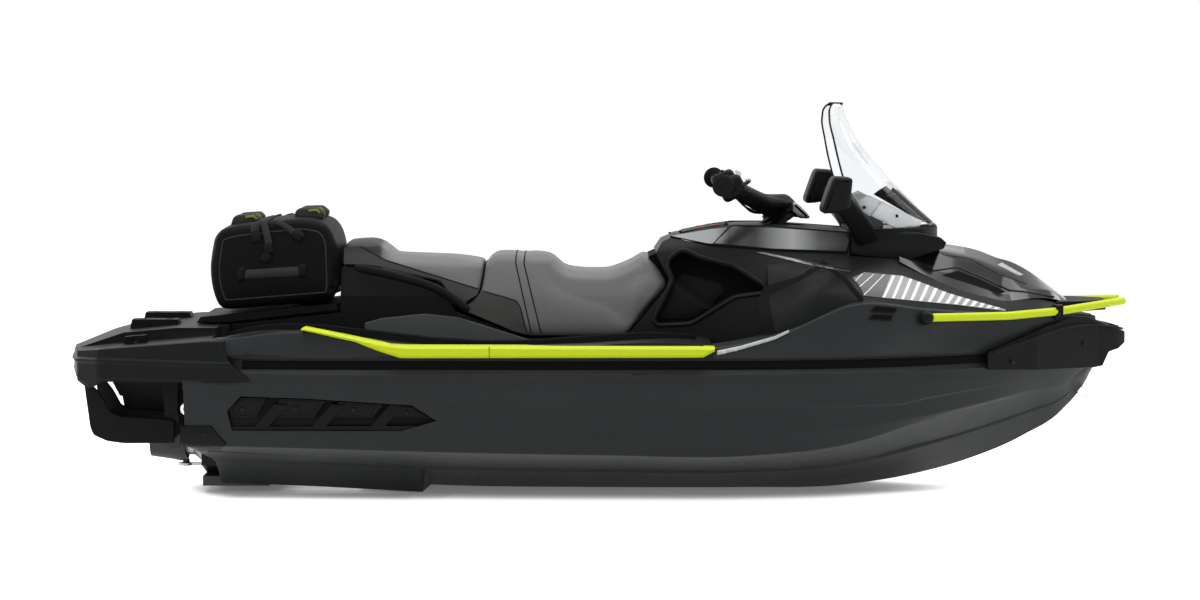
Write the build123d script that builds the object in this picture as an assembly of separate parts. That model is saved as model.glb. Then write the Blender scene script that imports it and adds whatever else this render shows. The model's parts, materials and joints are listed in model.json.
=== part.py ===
"""Personal watercraft: a three-seat touring craft with a long stern platform, in millimetres.

+X runs to the bow, +Y to port and +Z up.  Heights in this file are measured from the keel's
base line.  save() lowers every piece by DRAFT, so the origin of the files is on the waterline,
on the centre plane, half way along the craft.  Outlines are (x, z) in side view, (x, y) in plan
and (y, z) from the front.  Stations are half sections, from the centre plane outwards or down.
"""
from build123d import *
from math import cos, radians, sin
import os

os.makedirs("parts", exist_ok=True)

# ---------------------------------------------------------------- driving dimensions
DRAFT = 262                  # keel to waterline with the craft empty
WIDE = 700                   # more than half the beam, for cutters that span the craft
STERN_X = -1865              # rear edge of the swim platform
TRANSOM_X = -1400
DECK_REAR_X = -1290
DECK_FRONT_X = 380           # the footwells end and the foredeck begins
CONSOLE_FRONT_X = 868        # the console ends and the front lid begins
BOND_Z = 467                 # joint between hull and deck
CHANNEL = 16                 # depth of the groove that runs round the craft above the joint
RAIL_Z = 566                 # top of the gunwale along the footwells
FLOOR_Z = 400                # footwell floor
PUMP_Z = 172                 # height of the jet pump's axis
BORE_R = 78                  # the pump's bore at the impeller
IMPELLER_X = -1235
NOZZLE_X = -1478             # vertical pivot of the steering nozzle
BUCKET_PIVOT = (-1500, PUMP_Z)
LID_HINGE = (1190, 880)      # front lid (x, z)
GLOVE_HINGE = (440, 940)     # glove box lid (x, z)
STEP_HINGE = (-1470, 252)    # boarding step (x, z)
PIN_R = 9                    # its hinge pins
COLUMN = (628, 972)          # centre of the handlebar clamp (x, z)
COLUMN_TILT = 32             # degrees that the steering column leans back
GRIP_END = (421, 396, 1091)
TUBE_R = 12                  # handlebar tube
BOOT_R = 66                  # rubber boot round the steering column
STERN_EYE = (-1412, -420, 330)
BOW_EYE = (1724, 0, 340)
EYE_R = 11                   # hole of the tie-down eyes

# Table of offsets of the hull: x, keel height, then (half-breadth, height) of the lower and
# the upper chine, and the half-breadth at the bond line.
OFFSETS = [
    (-1400, 46, (520, 217), (552, 262), 590),
    (-1000, 30, (530, 209), (566, 257), 608),
    (-520, 6, (532, 197), (572, 250), 618),
    (0, 0, (530, 188), (572, 250), 620),
    (500, 0, (514, 184), (560, 257), 610),
    (850, 7, (462, 216), (506, 277), 562),
    (1113, 47, (388, 286), (412, 306), 474),
    (1330, 108, (285, 330), (300, 338), 362),
    (1512, 188, (165, 356), (178, 368), 246),
    (1650, 280, (70, 370), (84, 385), 138),
    (1752, 425, (14, 430), (18, 436), 44),
]
# Deck edge of the bow moulding: x, half-breadth at the bond line, (half-breadth, height) above.
BOW_EDGE = [
    (380, 613, (598, 556)),
    (588, 602, (580, 594)),
    (874, 557, (502, 696)),
    (1113, 474, (446, 672)),
    (1330, 362, (366, 652)),
    (1512, 246, (266, 640)),
    (1650, 138, (168, 630)),
    (1752, 44, (66, 616)),
]
# Cowl over the bow: x, then foot, stripe foot, stripe head, crease and crown (half-breadth, height).
COWL = [
    (560, (560, 540), (480, 655), (332, 728), (240, 800), (176, 850)),
    (720, (560, 600), (470, 738), (350, 790), (246, 815), (180, 850)),
    (874, (494, 660), (424, 735), (330, 795), (238, 832), (184, 850)),
    (1060, (452, 640), (392, 712), (278, 786), (220, 818), (176, 858)),
    (1250, (392, 630), (335, 694), (256, 732), (188, 788), (120, 862)),
    (1420, (316, 620), (262, 664), (206, 690), (150, 736), (90, 806)),
    (1540, (242, 610), (200, 648), (152, 686), (110, 716), (60, 762)),
    (1648, (156, 600), (128, 626), (98, 654), (68, 668), (34, 680)),
]
# Console: x, then base, waist, shelf edge and crown (half-breadth, height).
CONSOLE = [
    (60, (200, BOND_Z), (200, 640), (150, 850), (96, 890)),
    (260, (216, BOND_Z), (214, 700), (165, 866), (104, 909)),
    (400, (240, BOND_Z), (234, 730), (186, 884), (120, 940)),
    (600, (300, BOND_Z), (280, 730), (194, 858), (182, 946)),
    (CONSOLE_FRONT_X, (300, BOND_Z), (280, 730), (200, 856), (190, 926)),
]


# ---------------------------------------------------------------- helpers
def save(node, *solids):
    """Write the solids of one node, lowered so that the waterline is at height 0."""
    shape = solids[0] if len(solids) == 1 else Compound(children=list(solids))
    export_step(Location((0, 0, -DRAFT)) * shape, f"parts/{node}.step")


def port(shape):
    """The same shape on the other side of the craft."""
    return mirror(shape, about=Plane.XZ)


def save_pair(node, shape):
    """Write a starboard piece and its port twin as one node."""
    save(node, shape, port(shape))


def extruded(points, along):
    """A prism: a closed polygon of 3-D points carried along a vector."""
    return Solid.extrude(Face(Wire.make_polygon(points, close=True)), Vector(*along))


def side_solid(outline, y0, y1):
    return extruded([(x, y0, z) for x, z in outline], (0, y1 - y0, 0))


def plan_solid(outline, z0, z1):
    return extruded([(x, y, z0) for x, y in outline], (0, 0, z1 - z0))


def front_solid(outline, x0, x1):
    return extruded([(x0, y, z) for y, z in outline], (x1 - x0, 0, 0))


def both_sides(half):
    """A half section of (y, z) points and its mirror image, as one closed outline."""
    return half + [(-y, z) for y, z in reversed(half) if y > 0]


def station_loft(stations):
    """A smooth loft along X through (x, half section) stations."""
    wires = []
    for x, half in stations:
        wires.append(Wire.make_polygon([(x, y, z) for y, z in both_sides(half)], close=True))
    return Solid.make_loft(wires)


def box(x0, x1, y0, y1, z0, z1):
    return Pos((x0 + x1) / 2, (y0 + y1) / 2, (z0 + z1) / 2) * Box(x1 - x0, y1 - y0, z1 - z0)


def tube(points, radius, bend):
    """A round bar through points, with every corner bent to the same radius."""
    path = FilletPolyline(*points, radius=bend)
    return sweep(Plane(path @ 0, z_dir=path % 0) * Circle(radius), path=path)


def rod(start, end, radius):
    """A straight round bar between two points."""
    a, b = Vector(*start), Vector(*end)
    return Plane(a, z_dir=b - a) * Cylinder(radius, (b - a).length, align=(Align.CENTER, Align.CENTER, Align.MIN))


def turned(wall, height):
    """A ring about an axis along X: a closed outline of (x, radius) points, revolved."""
    face = Face(Wire.make_polygon([(x, 0, height + r) for x, r in wall], close=True))
    return revolve(face, Axis((0, 0, height), (1, 0, 0)), 360)


def across(x, z, radius, width):
    """A cylinder with its axis along Y."""
    return Pos(x, 0, z) * Rot(90, 0, 0) * Cylinder(radius, width)


def one(shape):
    """The largest solid of a result, which drops slivers left by a cut."""
    return max(shape.solids(), key=lambda s: s.volume)


# ---------------------------------------------------------------- hull
TUB = box(DECK_REAR_X, DECK_FRONT_X, -505, 505, FLOOR_Z - 15, BOND_Z)
BAY = box(-640, 56, -150, 150, 120, 700)
INTAKE = side_solid([(-1160, 260), (-1160, -10), (-640, -10), (-700, 20), (-960, 200)], -95, 95)
TUNNEL = Pos(-1290, 0, PUMP_Z) * Rot(0, 90, 0) * Cylinder(118, 280)
CORNER = [(-1430, 292), (-1308, 290), (-1261, 221), (-1300, 186), (-995, 163), (-935, 96), (-935, 40), (-1430, 40)]
TRANSOM_STEP = [(-1430, 214), (-1375, 206), (-1358, 172), (-1331, 124), (-1331, -10), (-1430, -10)]
SPONSON = [(-1255, 340), (-1208, 392), (-994, 386), (-632, 363), (-548, 309), (-604, 292), (-671, 273), (-1240, 273)]


def above_bond(bond, edge):
    """Half section above the joint: a groove under a lip, then the slope to the deck's edge."""
    groove = bond - CHANNEL
    return [(bond, BOND_Z), (groove, BOND_Z + CHANNEL), (groove, BOND_Z + 45), (bond - 1, BOND_Z + 59), edge]


def hull_outer():
    """The V-bottom below the bond line, lofted through the table of offsets."""
    return station_loft([(x, [(0, keel), low, high, (bond, BOND_Z)]) for x, keel, low, high, bond in OFFSETS])


def transom_step():
    """What the rear end of the hull lacks on each side of the pump tunnel."""
    return side_solid(TRANSOM_STEP, -WIDE, -170)


def corner_trim():
    """Black trim over the starboard rear corner of the bottom."""
    return one((hull_outer() & side_solid(CORNER, -WIDE, -300)) - transom_step())


def sponson():
    """A starboard sponson: a back plate, three slanted slats and a ledge, in a recess of the hull."""
    pieces = side_solid(SPONSON, -552, -540)
    for x in (-1171, -978, -781):
        pieces += side_solid([(x, 277), (x + 46, 277), (x + 122, 362), (x + 76, 366)], -588, -540)
    pieces += side_solid([(-1240, 273), (-671, 273), (-604, 292), (-1240, 287)], -580, -540)
    return one(pieces & hull_outer())


def hull(bumper):
    """The hull with its bay, intake, tunnel, sponson recesses and cut rear corners."""
    body = hull_outer() - bumper - TUB - BAY - INTAKE - TUNNEL
    for cutter in (side_solid(CORNER, -WIDE, -300), transom_step(), side_solid(SPONSON, -WIDE, -540)):
        body -= cutter
        body -= port(cutter)
    return one(body)


# ---------------------------------------------------------------- deck
def deck_outer():
    """The moulding above the bond line along the footwells; it rises over the stern quarters."""
    stations = [(DECK_REAR_X, 594, (556, 576)), (-1000, 608, (580, 604)), (-670, 615, (600, RAIL_Z)),
                (0, 620, (604, RAIL_Z)), (DECK_FRONT_X, 613, (598, 556))]
    return station_loft([(x, above_bond(bond, edge)) for x, bond, edge in stations])


def footwell():
    """The starboard channel for the riders' feet, open at its rear end."""
    outline = [(DECK_REAR_X - 30, -236), (DECK_REAR_X - 30, -450), (-900, -490), (120, -490), (330, -400), (330, -236)]
    return plan_solid(outline, FLOOR_Z, 760)


def footwell_mat():
    """The traction mat on the starboard footwell floor."""
    outline = [(-1270, -246), (-1270, -442), (-895, -480), (112, -480), (316, -395), (316, -246)]
    return plan_solid(outline, FLOOR_Z, FLOOR_Z + 6)


def gunwale_rail():
    """The yellow starboard rail: a bar on the deck edge that tapers and rises to the stern."""
    outline = [(384, 562), (-644, 567), (-700, 572), (-988, 626), (-1000, 616), (-821, 576), (-672, 524), (346, 526)]
    plan = [(384, -560), (384, -618), (300, -628), (-640, -628), (-1004, -606), (-1004, -560)]
    return side_solid(outline, -630, -560) & plan_solid(plan, 500, 640)


def stern_platform():
    """The swim platform, with cut-off rear corners, a groove along its sides, a deep keel below
    and two lugs whose pins carry the boarding step."""
    x, z = STEP_HINGE
    plan = [(-1169, -606), (-1262, -606), (-1690, -556), (-1772, -486), (-1806, -350), (STERN_X, 0)]
    plan = plan + [(x, -y) for x, y in reversed(plan[:-1])]
    outline = [(-1169, 443), (-1252, 520), (-1262, 578), (-1330, 576), (-1672, 548), (-1790, 534),
               (STERN_X, 512), (STERN_X, 486), (-1732, 412), (-1690, 438), (-1290, 438)]
    slab = plan_solid(plan, 380, 700) & side_solid(outline, -WIDE, WIDE)
    groove = side_solid([(-1700, 512), (-1700, 500), (-1230, 490), (-1230, 502)], -WIDE, -548)
    crown = side_solid([(-1790, 534), (-1672, 548), (-1330, 576), (-1290, 574), (-1290, 600), (-1460, 600), (-1640, 584)],
                       -330, 330)
    keel = side_solid([(-1700, 438), (-1662, 362), (-1440, 334), (-1400, 330), (-1400, 438)], -300, 300)
    cheek = side_solid([(-1690, 438), (-1664, 302), (TRANSOM_X, 292), (TRANSOM_X, 438)], -184, -150)
    lug = [(x + 26, 440), (x + 20, z - 22), (x - 20, z - 22), (x - 26, 440)]
    hinges = side_solid(lug, -184, -150) + side_solid(lug, -402, -382)
    hinges += Pos(0, -178, 0) * across(x, z, PIN_R, 56) + Pos(0, -402, 0) * across(x, z, PIN_R, 40)
    return slab + crown + keel + cheek + port(cheek) + hinges - groove - port(groove)


def seat_pedestal():
    """The raised centre of the deck that carries the seats, open over the engine bay."""
    outline = [(DECK_REAR_X, BOND_Z), (DECK_REAR_X, 600), (-906, 640), (-906, 794), (-830, 794), (-702, 766),
               (-564, 740), (-502, 640), (-262, 552), (76, 552), (76, BOND_Z)]
    section = both_sides([(188, 460), (188, 700), (150, 800)])
    return (side_solid(outline, -188, 188) & front_solid(section, -1300, 300)) - BAY


def side_cover():
    """The starboard cover panel over the pedestal's side, ahead of the seat's grab handle."""
    outline = [(-818, 529), (-820, 606), (-760, 622), (-612, 638), (-493, 625), (-262, 552), (-142, 529)]
    return side_solid(outline, -214, -188)


def grab_handle():
    """The starboard grab handle, a bowed bar along the passenger seat's lower edge."""
    return tube([(-455, -216, 652), (-559, -219, 722), (-698, -219, 766), (-851, -216, 800)], 9, 60)


# ---------------------------------------------------------------- seats
def cushion(profile, crown):
    """A seat cushion: a side profile whose flanks lean in towards the top."""
    section = [(206, 500), (206, 600), (190, 700), (crown + 24, 790), (crown, 850), (crown, 930)]
    return side_solid(profile, -206, 206) & front_solid(both_sides(section), -1000, 400)


def rider_seat():
    """The front cushion with its back support and the hump between the two seats."""
    profile = [(-258, 556), (78, 556), (130, 618), (236, 744), (154, 834), (103, 796), (32, 770), (-60, 771),
               (-124, 778), (-172, 826), (-294, 829), (-304, 840), (-369, 840), (-402, 812), (-409, 760),
               (-421, 700), (-492, 646)]
    return cushion(profile, 138)


def passenger_seat():
    """The rear cushion with its raised back."""
    profile = [(-404, 812), (-480, 818), (-722, 826), (-766, 880), (-898, 880), (-904, 798), (-830, 798),
               (-700, 770), (-560, 744), (-494, 650), (-422, 702), (-410, 760)]
    return cushion(profile, 146)


# ---------------------------------------------------------------- bow
def bow_moulding():
    """The bow from the bond line up to the deck edge."""
    return station_loft([(x, above_bond(bond, edge)) for x, bond, edge in BOW_EDGE])


def bumper():
    """The wrap-round bow bumper: a wedge in side view, a band around the bow in plan."""
    outline = [(1327, 460), (1560, 446), (1740, 440), (1776, 444), (1800, 492), (1840, 502), (1866, 520),
               (1866, 560), (1720, 618), (1650, 624), (1552, 600), (1327, 520)]
    outer = [(1327, 396), (1512, 290), (1650, 186), (1760, 98), (1835, 50), (1866, 16)]
    inner = [(1327, 340), (1500, 238), (1640, 132), (1740, 40)]
    band = outer + [(x, -y) for x, y in reversed(outer)] + [(x, -y) for x, y in inner] + list(reversed(inner))
    return side_solid(outline, -420, 420) & plan_solid(band, 400, 700)


def cowl_outer():
    """The raised centre of the bow, from the deck edge up to the hood."""
    return station_loft([(x, list(half)) for x, *half in COWL])


HOOD_LINE = [(1040, 832), (1120, 780), (1240, 726), (1413, 682), (1516, 692), (1600, 668), (1660, 668), (1660, 900), (1040, 900)]
SCOOP_LINE = [(560, 560), (570, 712), (676, 764), (771, 812), (829, 770), (884, 703), (744, 649), (598, 540)]


def bow_plate():
    """The black mooring plate ahead of the hood, above the bumper."""
    plan = [(1600, -150), (1700, -120), (1790, -52), (1790, 52), (1700, 120), (1600, 150)]
    return plan_solid(plan, 640, 676)


def bow_rail():
    """The starboard grab tube along the bow's deck edge."""
    points = [(1126, -478, 648), (1400, -362, 644), (1590, -244, 650), (1800, -96, 668), (1850, -52, 672)]
    return tube(points, 14, 60)


def rail_socket():
    """The ball socket at the tube's rear end, and the clamp that holds the tube near its front."""
    ball = Pos(1106, -474, 648) * Sphere(24)
    clamp = box(1580, 1606, -262, -214, 622, 672)
    return ball, clamp


# ---------------------------------------------------------------- console and front lid
BIN = box(890, 1150, -165, 165, 600, 1000)
LID = [(CONSOLE_FRONT_X + 4, 932), (900, 940), (1100, 922), (1186, 904), (1206, 886), (1196, 866), (1060, 822), (CONSOLE_FRONT_X + 4, 846)]
LID_ROOM = [(CONSOLE_FRONT_X, 838), (CONSOLE_FRONT_X, 1100), (1260, 1100), (1216, 866), (1206, 858), (1062, 812)]


def console():
    """The steering console: an undercut block between the seat and the bow."""
    profile = [(84, 552), (138, 614), (244, 744), (190, 848), (216, 886), (259, 911), (301, 921), (386, 938),
               (471, 950), (581, 947), (CONSOLE_FRONT_X, 926), (CONSOLE_FRONT_X, BOND_Z), (80, BOND_Z)]
    return station_loft([(x, list(half)) for x, *half in CONSOLE]) & side_solid(profile, -WIDE, WIDE)


def knee_pad():
    """The region of the starboard knee recess, a dark pocket in the console's flank."""
    outline = [(262, 757), (236, 818), (288, 856), (343, 828), (464, 799), (560, 730), (464, 708), (315, 612), (190, 606)]
    return side_solid(outline, -400, -206)


def console_panel():
    """The starboard silver panel along the top of the console's flank."""
    outline = [(392, 884), (459, 942), (858, 924), (866, 894), (858, 856)]
    return side_solid(outline, -206, -190)


def glove_lid():
    """The lid over the glove box, flush with the console's top, with its hinge barrel in front."""
    panel = side_solid([(290, 918), (386, 937), (440, 944), (440, 930), (386, 923), (290, 904)], -86, 86)
    return panel + across(*GLOVE_HINGE, 6, 140)


def front_lid():
    """The lid over the front storage bin, which carries screen, mirrors and display."""
    section = both_sides([(206, 820), (214, 856), (196, 916), (176, 940)])
    return side_solid(LID, -WIDE, WIDE) & front_solid(section, 860, 1210)


def screen_base():
    """The bowed bracket that holds the windshield on the lid."""
    arc = ThreePointArc((930, -186, 890), (1196, 0, 890), (930, 186, 890))
    face = Face(Wire([arc.edge(), Line((930, 186, 890), (930, -186, 890)).edge()]))
    return Solid.extrude(face, Vector(0, 0, 44))


def windshield():
    """The clear screen: a bowed sheet that leans back, lofted through level arcs."""
    sheet = 5
    levels = [(934, 1196, 900, 196), (1020, 1106, 872, 222), (1128, 1000, 838, 226), (1240, 908, 812, 204),
              (1330, 864, 800, 150), (1368, 856, 812, 96)]
    wires = []
    for z, front, side, half in levels:
        outer = ThreePointArc((side, -half, z), (front, 0, z), (side, half, z))
        inner = ThreePointArc((side, half - sheet, z), (front - sheet, 0, z), (side, sheet - half, z))
        left = Line((side, half, z), (side, half - sheet, z))
        right = Line((side, sheet - half, z), (side, -half, z))
        wires.append(Wire([outer.edge(), left.edge(), inner.edge(), right.edge()]))
    return Solid.make_loft(wires)


def gauge_display():
    """The instrument on the lid: a wedge whose face leans towards the rider."""
    body = side_solid([(880, 936), (884, 962), (948, 1000), (990, 970), (1000, 926)], -105, 105)
    return body.fillet(8, body.edges().filter_by(Axis.Y).sort_by(Axis.Z)[-2:])


def mirror_pod():
    """A starboard mirror: a wedge-shaped housing on an arm that rises from the lid."""
    pod = side_solid([(794, 1124), (856, 1120), (848, 1012), (791, 1001), (753, 998), (750, 1018), (784, 1112)], -468, -318)
    arm = extruded([(880, -206, 862), (966, -206, 880), (920, -206, 936)], (-92, -122, 112))
    return one(pod + arm)


# ---------------------------------------------------------------- handlebar
def handlebar():
    """One bent tube from grip to grip, through the clamp."""
    x, y, z = GRIP_END
    right = [(x, -y, z), (452, -262, 1078), (556, -110, 1004), (COLUMN[0] + 14, 0, 992)]
    left = [(a, -b, c) for a, b, c in reversed(right[:-1])]
    return tube(right + left, TUBE_R, 40)


def column_frame():
    """A frame on the steering column: origin at the clamp, Z along the tilted axis."""
    return Pos(COLUMN[0], 0, COLUMN[1]) * Rot(0, -COLUMN_TILT, 0)


def steering_head():
    """The clamp block, and the pleated boot round the column, revolved about its tilted axis."""
    pleats = [(0, -33), (BOOT_R, -33), (BOOT_R, -20), (BOOT_R - 9, -13), (BOOT_R - 2, -6), (BOOT_R - 13, 1),
              (BOOT_R - 6, 8), (BOOT_R - 18, 16), (BOOT_R - 18, 24), (0, 24)]
    wall = Face(Wire.make_polygon([(r, 0, up) for r, up in pleats], close=True))
    boot = column_frame() * revolve(wall, Axis.Z, 360)
    pad = column_frame() * Pos(0, 0, 38) * Box(88, 140, 28)
    return boot + pad.fillet(10, pad.edges())


def bar_cover():
    """The padded cover round the bar's bends, lofted outwards from the clamp.

    Its stations are (distance from the centre, outline), and each outline is (ahead of the
    column's axis, height along that axis); the underside climbs so that it clears the console.
    """
    middle = (0, [(-62, 44), (-34, 24), (56, -10), (84, -4), (70, 52), (-30, 84)])
    bend = (110, [(-72, 76), (-34, 42), (6, 36), (22, 66), (-18, 108), (-62, 114)])
    end = (222, [(-126, 176), (-84, 132), (-56, 134), (-46, 162), (-62, 204), (-118, 216)])
    cover = None
    for side in (-1, 1):
        wires = []
        for y, outline in (middle, bend, end):
            wires.append(Wire.make_polygon([(ahead, side * y, up) for ahead, up in outline], close=True))
        half = Solid.make_loft(wires, True)
        cover = half if cover is None else cover + half
    skirt = side_solid([(40, 10), (40, -34), (72, -54), (90, -48), (84, 10)], -46, 46)
    return column_frame() * (cover + skirt)


def controls(side):
    """The switch block inboard of a grip, with its lever ahead of the grip."""
    block = Pos(-92, side * 254, 186) * Box(84, 60, 74)
    block = column_frame() * block.fillet(16, block.edges())
    lever = tube([(476, side * 262, 1086), (512, side * 312, 1102), (498, side * 388, 1116)], 7, 24)
    return block + lever


def grip(side):
    """The rubber grip over one end of the bar."""
    x, y, z = GRIP_END
    return rod((x - 2, side * (y + 6), z + 1), (446, side * 292, 1081), 18)


# ---------------------------------------------------------------- jet pump
def pump_housing():
    """Pump duct, venturi and the stator: five vanes on a tapering hub, cast as one."""
    duct = turned([(-1150, BORE_R), (-1150, 117.9), (-1164, 117.9), (-1164, 104), (-1380, 104), (-1446, 56),
                   (-1474, 54), (-1474, 47), (-1440, 48), (-1376, 86), (-1300, 86), (-1300, BORE_R)], PUMP_Z)
    for side in (-1, 1):
        ear = Pos(NOZZLE_X, 0, PUMP_Z + side * 88) * Cylinder(27, 8) + box(
            NOZZLE_X, -1395, -16, 16, PUMP_Z + side * 88 - 4, PUMP_Z + side * 88 + 4)
        duct += ear - Pos(NOZZLE_X, 0, PUMP_Z + side * 88) * Cylinder(17, 10)
    hub = turned([(-1300, 0), (-1300, 34), (-1360, 36), (-1440, 14), (-1440, 0)], PUMP_Z)
    for k in range(5):
        hub += Pos(0, 0, PUMP_Z) * Rot(72 * k, 0, 0) * box(-1375, -1310, -4, 4, 30, 90)
    return one(duct + hub)


def impeller():
    """Four swept blades, each lofted from a steep root to a flat tip, on a hub."""
    wheel = turned([(IMPELLER_X - 50, 0), (IMPELLER_X - 50, 30), (IMPELLER_X + 30, 26), (IMPELLER_X + 58, 0)], PUMP_Z)
    tip_r = BORE_R - 2
    for k in range(4):
        sections = []
        for radius, chord, pitch in ((22, 62, 62), (50, 78, 44), (90, 92, 30)):
            frame = Plane(origin=(IMPELLER_X, 0, PUMP_Z + radius), x_dir=(1, 0, 0), z_dir=(0, 0, 1))
            sections.append(frame * Rot(0, 0, pitch) * Rectangle(chord, 6))
        wheel += Pos(0, 0, PUMP_Z) * Rot(90 * k, 0, 0) * Pos(0, 0, -PUMP_Z) * loft(sections)
    return one(wheel & (Pos(IMPELLER_X, 0, PUMP_Z) * Rot(0, 90, 0) * Cylinder(tip_r, 124)))


def nozzle():
    """The steering nozzle, a short duct that swings on two upright pins."""
    duct = turned([(-1472, 69), (-1472, 77), (-1500, 76), (-1530, 70), (-1600, 60), (-1600, 52), (-1530, 61),
                   (-1500, 67)], PUMP_Z)
    for side in (-1, 1):
        duct += Pos(NOZZLE_X, 0, PUMP_Z + side * 83) * Cylinder(12, 24)
    return duct


def bucket():
    """The reversing bucket: a drum-shaped hood over the nozzle, on two side cheeks."""
    x, z = BUCKET_PIVOT
    drum = across(x, z, 136, 256) - across(x, z, 126, 232)
    hood = drum & side_solid([(x - 150, z + 66), (x - 150, z + 150), (x + 40, z + 150), (x + 24, z + 80)], -140, 140)
    cheek = side_solid([(x + 16, z - 16), (x - 16, z - 16), (x - 112, z + 66), (x - 60, z + 118), (x + 30, z + 118)],
                       -128, -117)
    return one(hood + cheek + port(cheek))


def ride_plate():
    """The flat plate under the pump; its top follows the V of the bottom."""
    return one(box(TRANSOM_X, -1165, -140, 140, 24, 60) - hull_outer())


def intake_grate():
    """Bars across the water intake, between two cross pieces."""
    grate = box(-1150, -1130, -94, 94, 24, 44) + box(-765, -745, -94, 94, 24, 44)
    for y in (-80, -40, 0, 40, 80):
        grate += box(-1150, -745, y - 5, y + 5, 26, 42)
    return grate


# ---------------------------------------------------------------- stern fittings
def boarding_step():
    """The step under the platform's starboard side: two bent arms and a wide tread."""
    x, z = STEP_HINGE
    outline = [(x + 14, z - 39), (x + 14, z + 38), (-1658, 290), (-1692, 307), (-1727, 392), (-1762, 392), (-1740, 268),
               (-1730, 242), (-1685, 221), (-1630, 213)]
    arms = [side_solid(outline, y - 12, y) for y in (-190, -408)]
    tread = side_solid([(-1740, 268), (-1730, 242), (-1685, 221), (-1610, 214), (-1610, 236), (-1690, 262), (-1712, 300)],
                       -420, -190)
    return one(arms[0] + arms[1] + tread - across(x, z, PIN_R + 0.5, 2 * WIDE))


def accessory_base():
    """Two raised rails on the platform, each with two round sockets for quick-fit anchors."""
    rail = side_solid([(-1650, 556), (-1636, 616), (-1476, 616), (-1462, 556)], -178, -118)
    for x in (-1600, -1510):
        rail -= Pos(x, -148, 596) * Cylinder(15, 60)
    return rail


def mooring_cleat():
    """The starboard pop-up cleat near the platform's edge."""
    cleat = side_solid([(-1622, 540), (-1622, 578), (-1548, 584), (-1544, 544)], -424, -396)
    return cleat - across(-1585, 566, 8, 2 * WIDE)


def luggage_rack():
    """The wedge-shaped base that the bag latches on to."""
    return side_solid([(-1411, 604), (-1396, 626), (-1330, 634), (-920, 674), (-916, 648), (-1290, 606)], -190, 190)


def storage_bag():
    """The soft bag, a plain closed solid that leans with the rack."""
    outline = [(-1328, 646), (-1352, 722), (-1362, 800), (-1340, 925), (-1282, 944), (-1040, 972), (-952, 960),
               (-918, 900), (-914, 720), (-926, 678)]
    block = side_solid(outline, -228, 228)
    return block.fillet(34, block.edges().filter_by(Axis.Y) + block.faces().sort_by(Axis.Y)[0].edges()
                        + block.faces().sort_by(Axis.Y)[-1].edges())


def eye(x, y, z):
    """A tie-down eye: a thick ring with its hole along Y."""
    return Pos(x, y, z) * Rot(90, 0, 0) * (Cylinder(2 * EYE_R, 12) - Cylinder(EYE_R, 12))


# ---------------------------------------------------------------- build: bow, hull and deck
HULL_SHAPE = hull_outer()
BUMPER = one(bumper())
BOW = one(bow_moulding() - BUMPER)
DECK_SHAPE = one(deck_outer() + TUB - footwell() - port(footwell()) - BAY)
RAIL = gunwale_rail()
CONSOLE_SHAPE = one(console() - BOW - DECK_SHAPE)
HINGE_ROOM = across(*LID_HINGE, 40, 460)
LID_CUT = side_solid(LID_ROOM, -224, 224)
COWL_SHAPE = one(cowl_outer() - BOW - console() - BIN - LID_CUT - HINGE_ROOM)
HOOD_CUT = side_solid(HOOD_LINE, -WIDE, WIDE)
SCOOP_CUT = side_solid(SCOOP_LINE, -WIDE, -352)

save("hull", hull(BUMPER))
save_pair("corner_trims", corner_trim())
save_pair("sponsons", sponson())
save("deck", one(DECK_SHAPE - RAIL - port(RAIL)))
save_pair("gunwale_rails", RAIL)
save_pair("footwell_mats", footwell_mat())
save("bow_moulding", one(bow_moulding() - BUMPER - BIN))
save("bow_bumper", BUMPER)
save("cowl", one(COWL_SHAPE - HOOD_CUT - SCOOP_CUT - port(SCOOP_CUT)))
save("hood", one(COWL_SHAPE & HOOD_CUT))
save_pair("side_scoops", one(COWL_SHAPE & SCOOP_CUT))
save("bow_plate", one(bow_plate() - BOW - cowl_outer() - BUMPER))
save_pair("bow_rails", bow_rail())
BALL, CLAMP = rail_socket()
SOCKETS = [one(shape - BOW - bow_rail() - cowl_outer()) for shape in (BALL, CLAMP)]
save("bow_rail_sockets", *SOCKETS, *[port(shape) for shape in SOCKETS])

# ---------------------------------------------------------------- build: stern
BASE = accessory_base()
CLEAT = mooring_cleat()
FITTINGS = [BASE, port(BASE), CLEAT, port(CLEAT)]
PLATFORM = stern_platform() - HULL_SHAPE - DECK_SHAPE - footwell() - port(footwell())
for fitting in FITTINGS:
    PLATFORM -= fitting
save("stern_platform", one(PLATFORM))
save_pair("accessory_base", BASE)
save_pair("mooring_cleats", CLEAT)
save("luggage_rack", one(luggage_rack() - seat_pedestal() - stern_platform()))
save("storage_bag", storage_bag())
save("boarding_step", boarding_step())
save_pair("stern_eyes", one(eye(*STERN_EYE) - HULL_SHAPE))
save("bow_eye", one(eye(*BOW_EYE) - HULL_SHAPE))

# ---------------------------------------------------------------- build: seats, console and lid
PEDESTAL = one(seat_pedestal() - DECK_SHAPE - CONSOLE_SHAPE - stern_platform())
COVER = side_cover()
save("seat_pedestal", PEDESTAL)
save_pair("side_covers", one(COVER - DECK_SHAPE))
save("engine", box(-520, 40, -125, 125, 120, 500))
save("rider_seat", one(rider_seat() - PEDESTAL - DECK_SHAPE - COVER - port(COVER)))
save("passenger_seat", one(passenger_seat() - PEDESTAL))
save_pair("grab_handles", grab_handle())
GLOVE_BOX = box(300, 424, -74, 74, 790, 1000)
GLOVE_ROOM = side_solid([(280, 897), (280, 1000), (452, 1000), (452, 921), (430, 921), (386, 914)], -92, 92)
SOCKET = column_frame() * Pos(0, 0, 20) * Cylinder(BOOT_R + 8, 120)
PANEL = console_panel()
PAD = knee_pad()
BODY = CONSOLE_SHAPE - GLOVE_BOX - GLOVE_ROOM - SOCKET
for cutter in (PANEL, PAD):
    BODY -= cutter
    BODY -= port(cutter)
save("console", one(BODY))
save_pair("console_panels", PANEL)
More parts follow.
